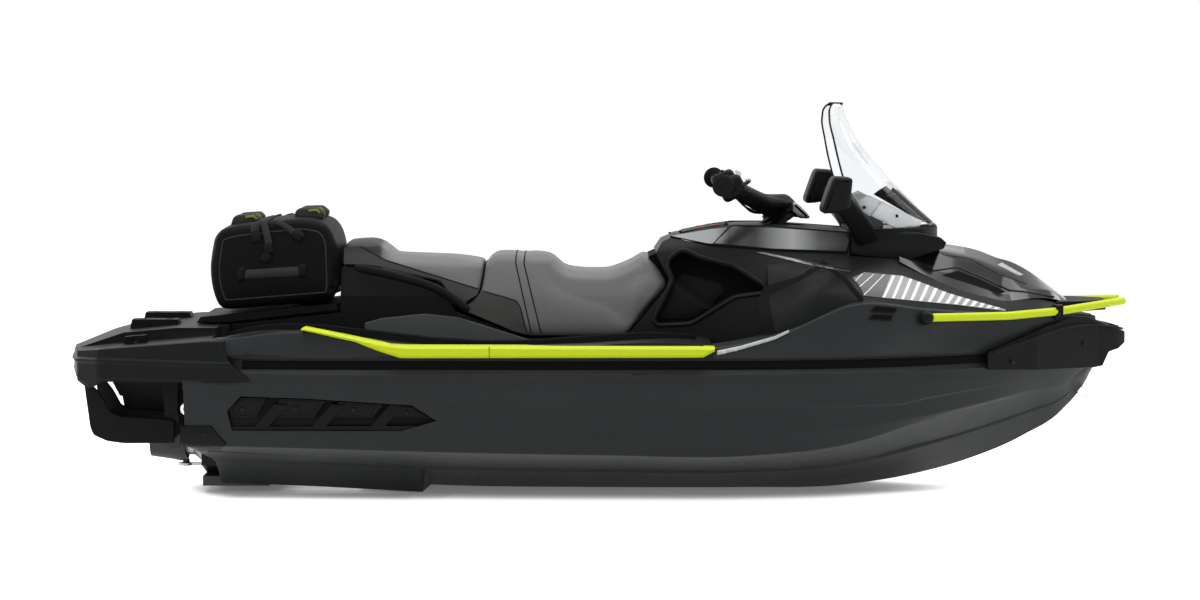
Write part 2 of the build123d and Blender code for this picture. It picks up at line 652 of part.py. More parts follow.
save_pair("knee_pads", one(PAD & CONSOLE_SHAPE))
save("glove_box_lid", glove_lid())
FRONT_LID = one(front_lid())
SCREEN_BASE = one(screen_base() - FRONT_LID)
save("front_lid", FRONT_LID)
save("windshield_base", SCREEN_BASE)
save("windshield", windshield())
save("gauge_display", one(gauge_display() - FRONT_LID - SCREEN_BASE))
save_pair("mirrors", one(mirror_pod() - FRONT_LID))

# ---------------------------------------------------------------- build: steering and jet pump
BAR = handlebar()
save("handlebar", BAR)
save("steering_head", one(steering_head() - BAR))
save("grips", grip(-1) - BAR, grip(1) - BAR)
COVER_SHAPE = one(bar_cover() - BAR - steering_head())
save("bar_cover", COVER_SHAPE)
save("bar_controls", one(controls(-1) - BAR - COVER_SHAPE), one(controls(1) - BAR - COVER_SHAPE))
save("pump_housing", pump_housing())
save("impeller", impeller())
save("steering_nozzle", one(nozzle()))
save("reverse_bucket", bucket())
save("ride_plate", ride_plate())
save("intake_grate", one(intake_grate()))
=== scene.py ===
"""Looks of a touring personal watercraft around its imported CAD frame.

+X is the bow, +Y port, +Z up, in metres, and the waterline is at height 0.  Shape tables below
are in millimetres with heights from the keel's base line, as a builder's drawing gives them,
and mm() brings them into the frame.  An outline or a line on a side is in (x, z).
"""
import json
import math

import bmesh
import bpy
import numpy as np
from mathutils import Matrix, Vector
from mathutils.geometry import delaunay_2d_cdt


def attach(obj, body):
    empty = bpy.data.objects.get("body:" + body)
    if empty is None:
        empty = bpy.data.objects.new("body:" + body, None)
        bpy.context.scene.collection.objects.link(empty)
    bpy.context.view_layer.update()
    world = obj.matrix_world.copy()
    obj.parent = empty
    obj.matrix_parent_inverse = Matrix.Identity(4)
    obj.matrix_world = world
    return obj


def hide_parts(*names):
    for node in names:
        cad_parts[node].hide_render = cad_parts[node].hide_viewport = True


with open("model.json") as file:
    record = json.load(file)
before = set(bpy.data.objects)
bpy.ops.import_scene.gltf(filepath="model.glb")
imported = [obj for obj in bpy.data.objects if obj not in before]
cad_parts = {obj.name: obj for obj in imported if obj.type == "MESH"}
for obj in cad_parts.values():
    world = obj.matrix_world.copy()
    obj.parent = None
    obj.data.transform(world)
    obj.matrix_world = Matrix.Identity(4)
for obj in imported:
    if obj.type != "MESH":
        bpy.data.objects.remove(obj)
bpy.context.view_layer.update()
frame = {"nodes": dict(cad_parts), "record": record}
KEEL = -0.262                # the keel's base line in the frame
MM = 0.001
ACROSS = np.array([0.0, 1, 0])
BODY_OF = {node: body for body, nodes in frame["record"]["behaviour"]["bodies"].items() for node in nodes}


# ---------------------------------------------------------------- numbers and curves
def mm(points):
    """Millimetres above the keel's base line to metres in the frame."""
    return np.asarray(points, float) * MM + np.array([0, 0, KEEL])


def spread(a, b, count):
    """Evenly spaced numbers from a to b."""
    return np.linspace(a, b, count)


def turns(count):
    """Evenly spaced angles once round a circle."""
    return np.linspace(0, 2 * math.pi, count, endpoint=False)


def xyz(x, y, z):
    """Points whose coordinates are three arrays, stretched to one common shape."""
    return np.stack(np.broadcast_arrays(x, y, z), axis=-1)


def unit(v):
    """Vectors scaled to length 1."""
    v = np.asarray(v, float)
    return v / np.maximum(np.linalg.norm(v, axis=-1, keepdims=True), 1e-9)


def read(table, x):
    """A table of (place, value) rows read at x, along straight lines between the rows."""
    return np.interp(x, *np.transpose(table))


def looped(outline):
    """A closed outline as a line that ends where it starts."""
    outline = np.asarray(outline, float)
    return np.concatenate([outline, outline[:1]])


def curve(known, values, where):
    """Smooth curve through known values: a cubic between neighbours whose end slopes are those
    of the parabola through each point and the two beside it."""
    known, values, where = (np.asarray(a, float) for a in (known, values, where))
    slope = np.gradient(values, known, axis=0)
    k = np.clip(np.searchsorted(known, where, side="right") - 1, 0, len(known) - 2)
    step = (known[k + 1] - known[k]).reshape((-1,) + (1,) * (values.ndim - 1))
    t = ((where - known[k]) / (known[k + 1] - known[k])).reshape(step.shape)
    a, b = values[k], values[k + 1]
    ma, mb = slope[k] * step, slope[k + 1] * step
    return ((2 * t ** 3 - 3 * t ** 2 + 1) * a + (t ** 3 - 2 * t ** 2 + t) * ma
            + (3 * t ** 2 - 2 * t ** 3) * b + (t ** 3 - t ** 2) * mb)


def rounded(section, radius, steps, closed=False):
    """Each inner corner of a polygon becomes a quadratic arc that starts and ends a radius away
    along its two edges.  The polygon is in the last two axes, so a stack is rounded at once."""
    section = np.asarray(section, float)
    if closed:
        section = np.concatenate([section[..., -1:, :], section, section[..., :1, :]], axis=-2)
    corner = section[..., 1:-1, :]
    back = section[..., :-2, :] - corner
    ahead = section[..., 2:, :] - corner
    shorter = np.minimum(*(np.linalg.norm(edge, axis=-1, keepdims=True) for edge in (ahead, back)))
    radius = np.broadcast_to(np.asarray(radius, float).reshape(-1, 1), shorter.shape)
    reach = np.minimum(radius, 0.48 * shorter)
    p, q = ((corner + unit(edge) * reach)[..., None, :] for edge in (back, ahead))
    t = spread(0, 1, steps + 1)[:, None]
    arc = (1 - t) ** 2 * p + 2 * t * (1 - t) * corner[..., None, :] + t ** 2 * q
    arc = arc.reshape(arc.shape[:-3] + (-1, arc.shape[-1]))
    if closed:
        return arc
    return np.concatenate([section[..., :1, :], arc, section[..., -1:, :]], axis=-2)


def distances(line):
    """How far along a line each of its points is."""
    return np.concatenate([[0], np.cumsum(np.linalg.norm(np.diff(line, axis=0), axis=1))])


def evenly(line, count):
    """The same line with count points at equal distances along it."""
    line = np.asarray(line, float)
    run = distances(line)
    want = spread(0, run[-1], count)
    return np.stack([np.interp(want, run, values) for values in line.T], axis=1)


def smooth_line(points, count):
    """A smooth curve through a few points, with count points along it."""
    points = np.asarray(points, float)
    run = distances(points)
    return evenly(curve(run, points, spread(0, run[-1], 8 * len(points))), count)


def mirrored(points):
    """The same points on the other side of the centre plane."""
    return np.asarray(points) * np.array([1, -1, 1])


def anticlockwise(loop):
    """A closed outline in the order that makes the area sum x dz - z dx positive."""
    loop = np.asarray(loop, float)
    ahead = np.roll(loop, -1, axis=0)
    area = (loop[:, 0] * ahead[:, 1] - ahead[:, 0] * loop[:, 1]).sum()
    return loop if area > 0 else loop[::-1]


def inset_by(loop, distance):
    """A closed anticlockwise outline moved inwards, and the directions that its points take:
    each goes square to the line between its neighbours."""
    ahead = unit(np.roll(loop, -1, axis=0) - np.roll(loop, 1, axis=0))
    inward = np.stack([-ahead[:, 1], ahead[:, 0]], axis=1)
    return loop + inward * distance, inward


def edge_distance(outline, points):
    """Distance from each point to a closed outline, positive inside it: the nearest of the
    distances to its edges, with the sign from how often a line to the right crosses it."""
    a = np.asarray(outline, float)
    b = np.roll(a, -1, axis=0)
    p = np.asarray(points, float)[:, None, :]
    run = b - a
    t = np.clip(((p - a) * run).sum(-1) / np.maximum((run ** 2).sum(-1), 1e-9), 0, 1)
    near = np.linalg.norm(p - (a + t[..., None] * run), axis=-1).min(axis=1)
    spans = (a[:, 1] > p[..., 1]) != (b[:, 1] > p[..., 1])
    cross = a[:, 0] + (p[..., 1] - a[:, 1]) / np.where(run[:, 1] == 0, 1e-9, run[:, 1]) * run[:, 0]
    inside = (spans & (p[..., 0] < cross)).sum(axis=1) % 2 == 1
    return np.where(inside, near, -near)


def near_lines(lines, points, reach):
    """Which flat points lie within reach of any of some lines."""
    out = np.zeros(len(points), bool)
    for line in lines:
        path = evenly(line, 80)
        out |= (np.linalg.norm(points[:, None] - path[None], axis=-1) < reach).any(axis=1)
    return out


# ---------------------------------------------------------------- meshes: (points, faces) parts
def skin(grid, wrap=False, ends=False):
    """Quads between neighbours of a (rows, columns, 3) grid.  wrap joins the last column to the
    first, and ends closes the first and last row with a face each."""
    rows, cols = grid.shape[:2]
    index = np.arange(rows * cols).reshape(rows, cols)
    if wrap:
        index = np.concatenate([index, index[:, :1]], axis=1)
    quads = np.stack([index[:-1, :-1], index[:-1, 1:], index[1:, 1:], index[1:, :-1]], axis=-1)
    faces = quads.reshape(-1, 4).tolist()
    if ends:
        faces += [index[0, :cols][::-1].tolist(), index[-1, :cols].tolist()]
    return grid.reshape(-1, 3), faces


def sheet(grid):
    """An open skin on a grid in mm."""
    return skin(mm(grid))


def solid(grid):
    """A skin on a grid in mm whose rows are closed rings, with both ends closed."""
    return skin(mm(grid), wrap=True, ends=True)


def pair(grid, form=sheet):
    """The form on a grid in mm and on its mirror image across the centre plane."""
    return [form(grid), form(mirrored(grid))]


def tube(path, radius, sides):
    """A round bar: a circle carried along a path square to it.  radius is one number or one for
    each point; the ends are closed."""
    path = np.asarray(path, float)
    ahead = unit(np.gradient(path, axis=0))
    up = np.eye(3)[np.abs(ahead).max(axis=0).argmin()]
    side = unit(np.cross(ahead, up))
    over = np.cross(side, ahead)
    turn = turns(sides)[None, :, None]
    ring = np.cos(turn) * side[:, None] + np.sin(turn) * over[:, None]
    radius = np.broadcast_to(radius, len(path))[:, None, None]
    return skin((path[:, None] + ring * radius)[:, ::-1], wrap=True, ends=True)


def tube_pair(path, radius, sides):
    """A round bar along a path and its mirror image, all in mm."""
    return [tube(mm(p), radius * MM, sides) for p in (path, mirrored(path))]


def prism(outline, along):
    """A flat outline of 3-D points carried along a vector, closed at both ends."""
    outline = np.asarray(outline, float)
    return skin(np.stack([outline, outline + np.asarray(along, float)]), wrap=True, ends=True)


def spun(profile, centre, axis, sides):
    """A profile of (distance along the axis, radius) points turned about the axis, all in mm."""
    profile = np.asarray(profile, float) * MM
    axis = unit(axis)
    u = unit(np.cross(axis, np.eye(3)[2 if abs(axis[2]) < 0.9 else 0]))
    v = np.cross(axis, u)
    turn = turns(sides)[:, None]
    ring = np.cos(turn) * u + np.sin(turn) * v
    grid = mm(centre) + profile[:, :1, None] * axis + profile[:, 1:, None] * ring[None]
    return skin(grid, wrap=True, ends=True)


def filled(outline, gap, holes=(), corner=0):
    """A flat outline filled with triangles: its own edge in even steps, and a grid of points
    inside it.  Returns the flat points and the triangles."""
    loops = []
    for loop in (outline, *holes):
        loop = rounded(loop, corner, 3, closed=True) if corner else np.asarray(loop, float)
        after = np.roll(loop, -1, axis=0)
        size = np.linalg.norm(after - loop, axis=1)
        loops.append(np.concatenate([np.linspace(p, q, max(int(s / gap), 1), endpoint=False)
                                     for p, q, s in zip(loop, after, size)]))

    def within(points, margin):
        """Which points are inside the outline and outside its holes, by a margin."""
        inside = edge_distance(loops[0], points) > margin
        for loop in loops[1:]:
            inside &= edge_distance(loop, points) < -margin
        return inside

    low, high = loops[0].min(axis=0), loops[0].max(axis=0)
    inner = np.stack(np.meshgrid(*(np.arange(a, b, gap) for a, b in zip(low, high))), -1).reshape(-1, 2)
    points = np.concatenate([*loops, inner[within(inner, gap * 0.4)]])
    edges, start = [], 0
    for loop in loops:
        index = np.arange(len(loop)) + start
        edges += np.stack([index, np.roll(index, -1)], axis=1).tolist()
        start += len(loop)
    flat, _, tris, *_ = delaunay_2d_cdt([Vector(p) for p in points], edges, [], 0, 1e-4)
    flat, tris = np.array([tuple(v) for v in flat]), np.array(tris)
    return flat, tris[within(flat[tris].mean(axis=1), 0)].tolist()


def plate(origin, along, outline, corner):
    """A flat outline of (a, b) points in mm: a runs along a direction and b across the craft."""
    flat, tris = filled(outline, 20, (), corner)
    return [(mm(np.asarray(origin, float) + flat[:, :1] * along + flat[:, 1:] * ACROSS), tris)]


def pod(outline, y0, y1, edge, corner):
    """A block with rounded ends: a side outline that draws in by edge (1 - cos) while it goes
    outwards by edge sin, near each of its two ends, which are closed flat."""
    loop = rounded(anticlockwise(outline), corner, 4, closed=True)
    inward = inset_by(loop, 0)[1]
    turn = spread(0, math.pi / 2, 6)
    y = np.concatenate([y0 + edge * (1 - np.sin(turn[::-1])), y1 - edge * (1 - np.sin(turn))])
    inset = edge * (1 - np.cos(np.concatenate([turn[::-1], turn])))
    ring = loop[None] + inward[None] * inset[:, None, None]
    return [solid(xyz(ring[..., 0], y[:, None], ring[..., 1]))]


def tub(x0, x1, half, z_rim, z_floor):
    """A moulded bin: a rounded rectangle drawn down from a flange, a little smaller at its floor."""
    loops = []
    for grow, z in ((14, z_rim), (2, z_rim), (0, z_rim - 3), (-6, z_floor + 14), (-10, z_floor + 4), (-20, z_floor)):
        flat = rounded([(x0 - grow, -half - grow), (x1 + grow, -half - grow), (x1 + grow, half + grow),
                        (x0 - grow, half + grow)], 30, 5, closed=True)
        loops.append(np.column_stack([flat, np.full(len(flat), z)]))
    points, faces = skin(mm(np.stack(loops)), wrap=True)
    return [(points, faces + [list(range(len(points) - len(loops[0]), len(points)))])]


def bolt(centre, axis, radius):
    """A domed socket screw: its head's profile turned about its axis, with the socket sunk in."""
    head = [(-2, 1), (0.15, 1), (0.45, 0.72), (0.5, 0.4), (0.12, 0.36)]
    profile = [(a * radius if a > 0 else a, r * radius) for a, r in head] + [(0.1 * radius, 0.05)]
    return spun(profile, centre, axis, 16)


def bolt_pair(centre, axis, radius):
    """A screw to starboard and its twin to port."""
    return [bolt(np.multiply(centre, (1, side, 1)), np.multiply(axis, (1, side, 1)), radius) for side in (-1, 1)]


def side_bolts(places, surface_at, proud, radius):
    """Screws on a moulding's two sides, each facing outwards."""
    return [part for x, z in places
            for part in bolt_pair((x, float(surface_at(x, z)) + proud, z), (0, 1, 0), radius)]


def piece(name, parts, material, body="hull_and_deck", stands_for=(), **finish):
    """A mesh object made of (points, faces) parts in metres, dressed with its finish."""
    points, faces, count = [], [], 0
    for verts, quads in parts:
        points.append(verts)
        faces += [[i + count for i in f] for f in quads]
        count += len(verts)
    mesh = bpy.data.meshes.new(name)
    mesh.from_pydata(np.concatenate(points).tolist(), [], faces)
    return dressed(bpy.data.objects.new(name, mesh), material, body, stands_for, **finish)


def dressed(obj, material, body, stands_for, bevel=0, thick=0, sharp=32, inside=0):
    """Puts a mesh object into the scene: welds its seams, turns its faces outwards, and gives it
    its material and the body that it rides on.  thick gives an open sheet its wall, which lies
    behind the sheet where inside is -1 and half on each side of it where inside is 0; bevel
    rounds its hard edges; and sharp is the angle above which an edge stays crisp."""
    mesh = obj.data
    work = bmesh.new()
    work.from_mesh(mesh)
    bmesh.ops.remove_doubles(work, verts=work.verts, dist=1e-5)
    bmesh.ops.dissolve_degenerate(work, edges=work.edges, dist=1e-6)
    bmesh.ops.recalc_face_normals(work, faces=work.faces)
    work.to_mesh(mesh)
    work.free()
    mesh.polygons.foreach_set("use_smooth", np.ones(len(mesh.polygons), bool))
    mesh.set_sharp_from_angle(angle=math.radians(sharp))
    mesh.materials.clear()
    mesh.materials.append(material)
    bpy.context.scene.collection.objects.link(obj)
    if thick:
        wall_of = obj.modifiers.new("wall", "SOLIDIFY")
        wall_of.thickness = thick
        wall_of.offset = inside
        wall_of.use_even_offset = True
    if bevel:
        edge = obj.modifiers.new("edges", "BEVEL")
        edge.width = bevel
        edge.segments = 2
        edge.limit_method = "ANGLE"
        edge.angle_limit = math.radians(sharp)
        edge.harden_normals = True
    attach(obj, body)
    if stands_for:
        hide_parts(*stands_for)
    return obj


def finished(node, material, bevel):
    """A CAD node's own shape with its edges rounded: a welded copy whose triangles within two
    degrees of one plane are joined, so that the bevel runs along real edges only."""
    copy = bpy.data.objects.new(node + "_finished", frame["nodes"][node].data.copy())
    work = bmesh.new()
    work.from_mesh(copy.data)
    bmesh.ops.remove_doubles(work, verts=work.verts, dist=2e-5)
    bmesh.ops.dissolve_limit(work, angle_limit=math.radians(2), verts=work.verts, edges=work.edges)
    work.to_mesh(copy.data)
    work.free()
    return dressed(copy, material, BODY_OF[node], (node,), bevel=bevel, sharp=30)


# ---------------------------------------------------------------- materials
def linear(code):
    """An sRGB hex colour as linear red, green, blue and alpha."""
    parts = [int(code[i:i + 2], 16) / 255 for i in (1, 3, 5)]
    return tuple(c / 12.92 if c <= 0.04045 else ((c + 0.055) / 1.055) ** 2.4 for c in parts) + (1.0,)


def add(tree, kind, links=(), **settings):
    """Adds a node to a tree, sets its properties and sockets, and links sockets of other nodes to
    it.  A setting that the node has as a property goes there, and any other to the socket of
    that name."""
    node = tree.nodes.new(kind)
    for key, value in settings.items():
        if hasattr(node, key):
            setattr(node, key, value)
        else:
            node.inputs[key.replace("_", " ").title()].default_value = value
    for source, output, target in links:
        tree.links.new(source.outputs[output], node.inputs[target])
    return node


def surface(name, colour, roughness, metallic=0.0, ior=1.5, **more):
    """A material with one Principled shader.  A metal keeps the shader's own index."""
    material = bpy.data.materials.new(name)
    material.use_nodes = True
    sockets = {"Base Color": linear(colour), "Roughness": roughness, "Metallic": metallic}
    if not metallic:
        sockets["IOR"] = ior
    sockets.update((key.replace("_", " "), value) for key, value in more.items())
    for socket, value in sockets.items():
        material.node_tree.nodes["Principled BSDF"].inputs[socket].default_value = value
    return material


def grained(name, colour, roughness, grain, depth, swing, second=None, **more):
    """A moulded or sewn surface: noise of a real grain size in mm drives a bump of some depth and
    swings the roughness a little, and broad noise mixes two close colours."""
    material = surface(name, colour, roughness, **more)
    tree = material.node_tree
    shader = tree.nodes["Principled BSDF"]
    place = add(tree, "ShaderNodeTexCoord")
    noise = add(tree, "ShaderNodeTexNoise", [(place, "Object", "Vector")], Scale=1.0 / (grain * MM), Detail=3.0)
    bump = add(tree, "ShaderNodeBump", [(noise, "Fac", "Height")], Strength=depth, Distance=grain * MM)
    tree.links.new(bump.outputs["Normal"], shader.inputs["Normal"])
    rough = add(tree, "ShaderNodeMapRange", [(noise, "Fac", "Value")], From_Min=0.3, From_Max=0.7,
                To_Min=max(roughness - swing, 0.02), To_Max=roughness + swing)
    tree.links.new(rough.outputs["Result"], shader.inputs["Roughness"])
    if second:
        broad = add(tree, "ShaderNodeTexNoise", [(place, "Object", "Vector")], Scale=6.0, Detail=2.0)
        blend = add(tree, "ShaderNodeMix", [(broad, "Fac", "Factor")], data_type="RGBA", A=linear(colour),
                    B=linear(second))
        tree.links.new(blend.outputs["Result"], shader.inputs["Base Color"])
    return material


def shaded(material, stops):
    """Colour that changes along the craft: (x in metres, colour) stops on one ramp."""
    tree = material.node_tree
    low, high = stops[0][0], stops[-1][0]
    axes = add(tree, "ShaderNodeSeparateXYZ", [(add(tree, "ShaderNodeTexCoord"), "Object", 0)])
    share = add(tree, "ShaderNodeMapRange", [(axes, "X", "Value")], From_Min=low, From_Max=high)
    ramp = add(tree, "ShaderNodeValToRGB", [(share, "Result", "Fac")])
    for k, (x, colour) in enumerate(stops):
        at = (x - low) / (high - low)
        spot = ramp.color_ramp.elements[k] if k < 2 else ramp.color_ramp.elements.new(at)
        spot.position = at
        spot.color = linear(colour)
    tree.links.new(ramp.outputs["Color"], tree.nodes["Principled BSDF"].inputs["Base Color"])
    return material


# The plastics and coats start from an index near 1.5.  It is brought down here to the soft, dull
# shine that the dark mouldings of the craft have in a white room.
# Moulded glass-fibre hull with a sprayed gelcoat: an even charcoal, a clear soft sheen.
GELCOAT = grained("charcoal gelcoat", "#282a2b", 0.36, 40, 0.01, 0.03, "#242627", ior=1.2)
# The deck mouldings take the same coat in near black: the craft looks darker above its rail.
DECK_COAT = grained("deck gelcoat", "#1a1b1c", 0.4, 40, 0.02, 0.03, "#18191a", ior=1.18)
# The covers beside the seat take the gelcoat in a lighter mid grey: painted light that makes up for the shade that
# the seat's overhang casts on them.
LIGHTENED_COVER_COAT = grained("grey gelcoat lightened against shade", "#444647", 0.4, 40, 0.02, 0.03, "#404243", ior=1.36)
# Injection-moulded polypropylene with a leather-like grain, about 0.6 mm, drawn at 1.5 mm so
# that it shows: near black, dull, with a fine sparkle in its highlights.
GRAINED_PP = grained("grained black polypropylene", "#0b0c0c", 0.48, 1.5, 0.25, 0.08, ior=1.18)
# The same plastic coloured charcoal, for the platform: a shade lighter, as dull.
CHARCOAL_PP = grained("charcoal polypropylene", "#161718", 0.42, 1.5, 0.2, 0.06, ior=1.16)
# Matt black that paints shade: flat sheets and beads laid where gaps, grooves, slots and recesses fall into shadow,
# and also the dark strips at the screen's sides. It takes no highlight.
SHADE_AND_STRIP_BLACK = surface("matt black for painted shade and strips", "#040404", 0.9, ior=1.2)
# Injection-moulded ABS under clear lacquer: deep black with a mirror-like skin.
LACQUERED_ABS = surface("lacquered black ABS", "#0a0b0c", 0.16, ior=1.3, Coat_Weight=0.35, Coat_Roughness=0.06)
# ABS sprayed with silver-grey metallic paint, satin. The ramp along its length paints reflections: lighter and darker
# bands that stand in for the room seen in its bends.
SILVER_WITH_PAINTED_REFLECTIONS = shaded(
    grained("silver-grey painted ABS", "#777879", 0.3, 0.8, 0.05, 0.04, metallic=0.6),
    [(0.25, "#696b6c"), (0.40, "#58595b"), (0.45, "#252627"), (0.54, "#3a3b3c"), (0.67, "#858687"),
     (0.76, "#48494a"), (0.86, "#222324")])
# Polyethylene coloured through, satin from the mould: a clear yellow-green.
YELLOW_PE = grained("yellow-green polyethylene", "#c5d41c", 0.36, 3.0, 0.05, 0.05, ior=1.3)
# Woven nylon ribbon dyed yellow-green: matt, a small bright accent in the handles.
YELLOW_LINING = surface("yellow-green nylon ribbon", "#7d861c", 0.8)
# Marine vinyl over foam, embossed with a leather grain, drawn at 1.6 mm: soft mid grey.
SEAT_VINYL = grained("grey marine vinyl", "#646464", 0.5, 1.6, 0.3, 0.06, "#606060", ior=1.4)
# The rear cushion is sewn from the same grey with a black end, which the ramp changes at its seam.
REAR_VINYL = shaded(grained("two-tone marine vinyl", "#646464", 0.5, 1.6, 0.3, 0.06, "#606060", ior=1.4),
                    [(-0.90, "#0d0d0d"), (-0.772, "#0d0d0d"), (-0.758, "#666666"), (-0.40, "#666666")])
# The same embossed vinyl in a darker colour for the side panels.
SEAT_VINYL_DARK = grained("dark marine vinyl", "#3a3a38", 0.55, 1.6, 0.3, 0.06, ior=1.3)
# Woven nylon with a polyurethane coat: flat black with a slight waxy sheen.
BAG_CLOTH = grained("coated nylon cloth", "#060708", 0.55, 2.0, 0.2, 0.08, ior=1.16)
# Woven nylon webbing, 1.5 mm ribs: black and matt.
WEBBING = grained("black nylon webbing", "#040405", 0.8, 1.5, 0.5, 0.05)
# Printed vinyl film: flat white and flat grey with a slight shine.
DECAL_WHITE = surface("white vinyl film", "#e4e4e4", 0.35)
DECAL_GREY = surface("grey vinyl film", "#8b8c8c", 0.35)
# Closed-cell EVA foam cut from sheet: matt dark grey.
EVA_MAT = grained("EVA traction mat", "#232425", 0.85, 2.5, 0.5, 0.05)
# ABS moulded smooth: dark charcoal with a broad soft highlight.
SATIN_ABS = grained("satin charcoal ABS", "#131415", 0.45, 1.2, 0.06, 0.04, ior=1.14)
# Moulded rubber: matt black.
RUBBER = grained("moulded rubber", "#0c0d0e", 0.7, 1.2, 0.3, 0.08, ior=1.2)
# Cast aluminium with a machined and passivated face: light grey, softly broken highlights.
CAST_ALUMINIUM = grained("cast aluminium", "#a9acae", 0.38, 1.5, 0.12, 0.08, metallic=1.0)
# Cast aluminium under black powder coat: fine orange-peel, dull.
PAINTED_ALUMINIUM = grained("black powder-coated aluminium", "#161718", 0.5, 1.2, 0.2, 0.06)
# Stainless steel, forged and polished: bright, with small sharp highlights.
STAINLESS = surface("polished stainless steel", "#c9cacb", 0.2, metallic=1.0)
# Sand-cast iron under paint: grey and rough.
CAST_IRON = grained("painted cast iron", "#3c3e40", 0.6, 3.0, 0.3, 0.08)
# Drawn aluminium tube, anodised black: a long narrow highlight.
BLACK_ALUMINIUM = surface("black-anodised aluminium", "#1c1d1f", 0.35, metallic=0.9)
# Polycarbonate sheet, 3 mm, frosted on one face: milky, half clear.
FROSTED = surface("frosted polycarbonate", "#e2e4e5", 0.45, ior=1.3, Transmission_Weight=0.5)
# Silvered glass: a clear, slightly dark mirror.
MIRROR_GLASS = surface("silvered mirror glass", "#aab0b5", 0.04, metallic=1.0)
# Hardened glass over a dark display: black, with a sharp reflection.
DISPLAY_GLASS = surface("display glass", "#050607", 0.06)
# Moulded plastics coloured through, satin: red-orange marks, a grey cap and light grey trim.
RED_MARK = surface("red-orange moulded plastic", "#c8401c", 0.4)
CAP_GREY = surface("mid grey moulded plastic", "#818283", 0.4)
TRIM_GREY = surface("light grey moulded plastic", "#a6a7a8", 0.4)
# Clear polycarbonate sheet, 4 mm, formed hot: a flat sheet bends light very little, so the index
# is low and the screen is nearly clear with darker edges.
POLYCARBONATE = surface("clear polycarbonate", "#f6f7f8", 0.02, ior=1.12, Transmission_Weight=1.0)


# ---------------------------------------------------------------- surfaces of the mouldings
def sections(table, x, radius=0, steps=3):
    """Half sections at each x: every point of the station table follows its own smooth curve
    along the craft, and the corners between them are rounded."""
    found = curve([row[0] for row in table], [list(row[1:]) for row in table], np.ravel(x))
    return rounded(found, radius, steps) if np.any(radius) else found


def breadth(table, x, z, radius=0):
    """Half-breadth of a moulding at each (x, z): a straight line between the two points of its
    half section that lie below and above that height."""
    line = sections(table, x, radius)
    height = np.ravel(z)
    out = line[:, 0, 0].copy()
    for j in range(line.shape[1] - 1):
        low, high = line[:, j], line[:, j + 1]
        part = (height - low[:, 1]) / np.maximum(high[:, 1] - low[:, 1], 1e-6)
        out = np.where(height >= low[:, 1], low[:, 0] + (high[:, 0] - low[:, 0]) * np.clip(part, 0, 1), out)
    return out.reshape(np.shape(z))


def lofted(table, x, radius):
    """The skins of the two sides, through the half sections at each x."""
    line = sections(table, x, radius)
    return pair(mirrored(xyz(x[:, None], line[..., 0], line[..., 1])))


def side_panel(outline, surface_at, proud, gap, holes=(), corner=0):
    """An outline laid on a moulding's side, proud of it by so much, on both sides."""
    flat, tris = filled(outline, gap, holes, corner)
    right = xyz(flat[:, 0], -(surface_at(flat[:, 0], flat[:, 1]) + proud), flat[:, 1])
    return [(mm(right), tris), (mm(mirrored(right)), tris)]


def side_wall(outline, surface_at, depth):
    """The wall round a recess: a strip from an outline on a moulding's side to the same outline
    a depth further in."""
    loop = looped(outline)
    out = surface_at(loop[:, 0], loop[:, 1])
    return pair(xyz(loop[:, 0], -np.stack([out, out - depth]), loop[:, 1]))


def domed(outline, surface_at, low, high, run, gap=10, corner=12):
    """A panel on a moulding's two sides that rises from low at its edge to high inside it, as
    1 - exp(-distance / run), with an edge strip that goes back to the moulding."""
    loop = rounded(anticlockwise(outline), corner, 4, closed=True)

    def height(x, z):
        """Half-breadth of the domed panel at (x, z)."""
        inside = np.maximum(edge_distance(loop, np.stack([np.ravel(x), np.ravel(z)], axis=1)), 0)
        return surface_at(x, z) + (low + (high - low) * (1 - np.exp(-inside / run))).reshape(np.shape(x))

    return side_panel(loop, height, 0, gap) + side_wall(loop, height, low + 6)


def along_side(line, surface_at, proud, radius, count=40):
    """A bead along a line on a moulding's side."""
    path = evenly(line, count)
    return tube_pair(xyz(path[:, 0], -(surface_at(path[:, 0], path[:, 1]) + proud), path[:, 1]), radius, 8)


# ---------------------------------------------------------------- hull
# Offsets: x, keel, lower chine, upper chine, bond line (half-breadth, height).
BOND = 467
OFFSETS = [
    (-1400, (0, 46), (520, 217), (552, 262), (590, BOND)), (-1000, (0, 30), (530, 209), (566, 257), (608, BOND)),
    (-520, (0, 6), (532, 197), (572, 250), (618, BOND)), (0, (0, 0), (530, 188), (572, 250), (620, BOND)),
    (500, (0, 0), (514, 184), (560, 257), (610, BOND)), (850, (0, 7), (462, 216), (506, 277), (562, BOND)),
    (1113, (0, 47), (388, 286), (412, 306), (474, BOND)), (1330, (0, 108), (285, 330), (300, 338), (362, BOND)),
    (1512, (0, 188), (165, 356), (178, 368), (246, BOND)), (1650, (0, 280), (70, 370), (84, 385), (138, BOND)),
    (1752, (0, 425), (14, 430), (18, 436), (44, BOND)),
]
STERN, STEM = -1400, 1752
# Lines along the side, (x, height): the sponson's opening, the crease above it, and the cut of
# the bottom's rear edge as (height, x).
SPONSON_TOP = [(STERN, 340), (-1255, 340), (-1208, 392), (-994, 386), (-632, 363), (-548, 309), (STEM, 309)]
SPONSON_FOOT = [(STERN, 340), (-1255, 340), (-1240, 273), (-671, 273), (-604, 292), (-548, 309), (STEM, 309)]
CREASE = [(STERN, 414), (-663, 417), (-503, 367), (-470, 354), (1020, 352), (1130, 372), (STEM, 440)]
REAR_CUT = [(0, -1331), (124, -1331), (172, -1358), (206, -1375), (214, STERN), (500, STERN)]
BOW_START = 1400             # where the rows start to bunch up for the bow's curve
TUNNEL_FRONT, TUNNEL_HALF = -620, 150.0          # opening in the bottom for the jet drive
PROUD = 3.0                  # how far the hull's smooth skin stands off the CAD piece under it
SIDE_ROUND = 26


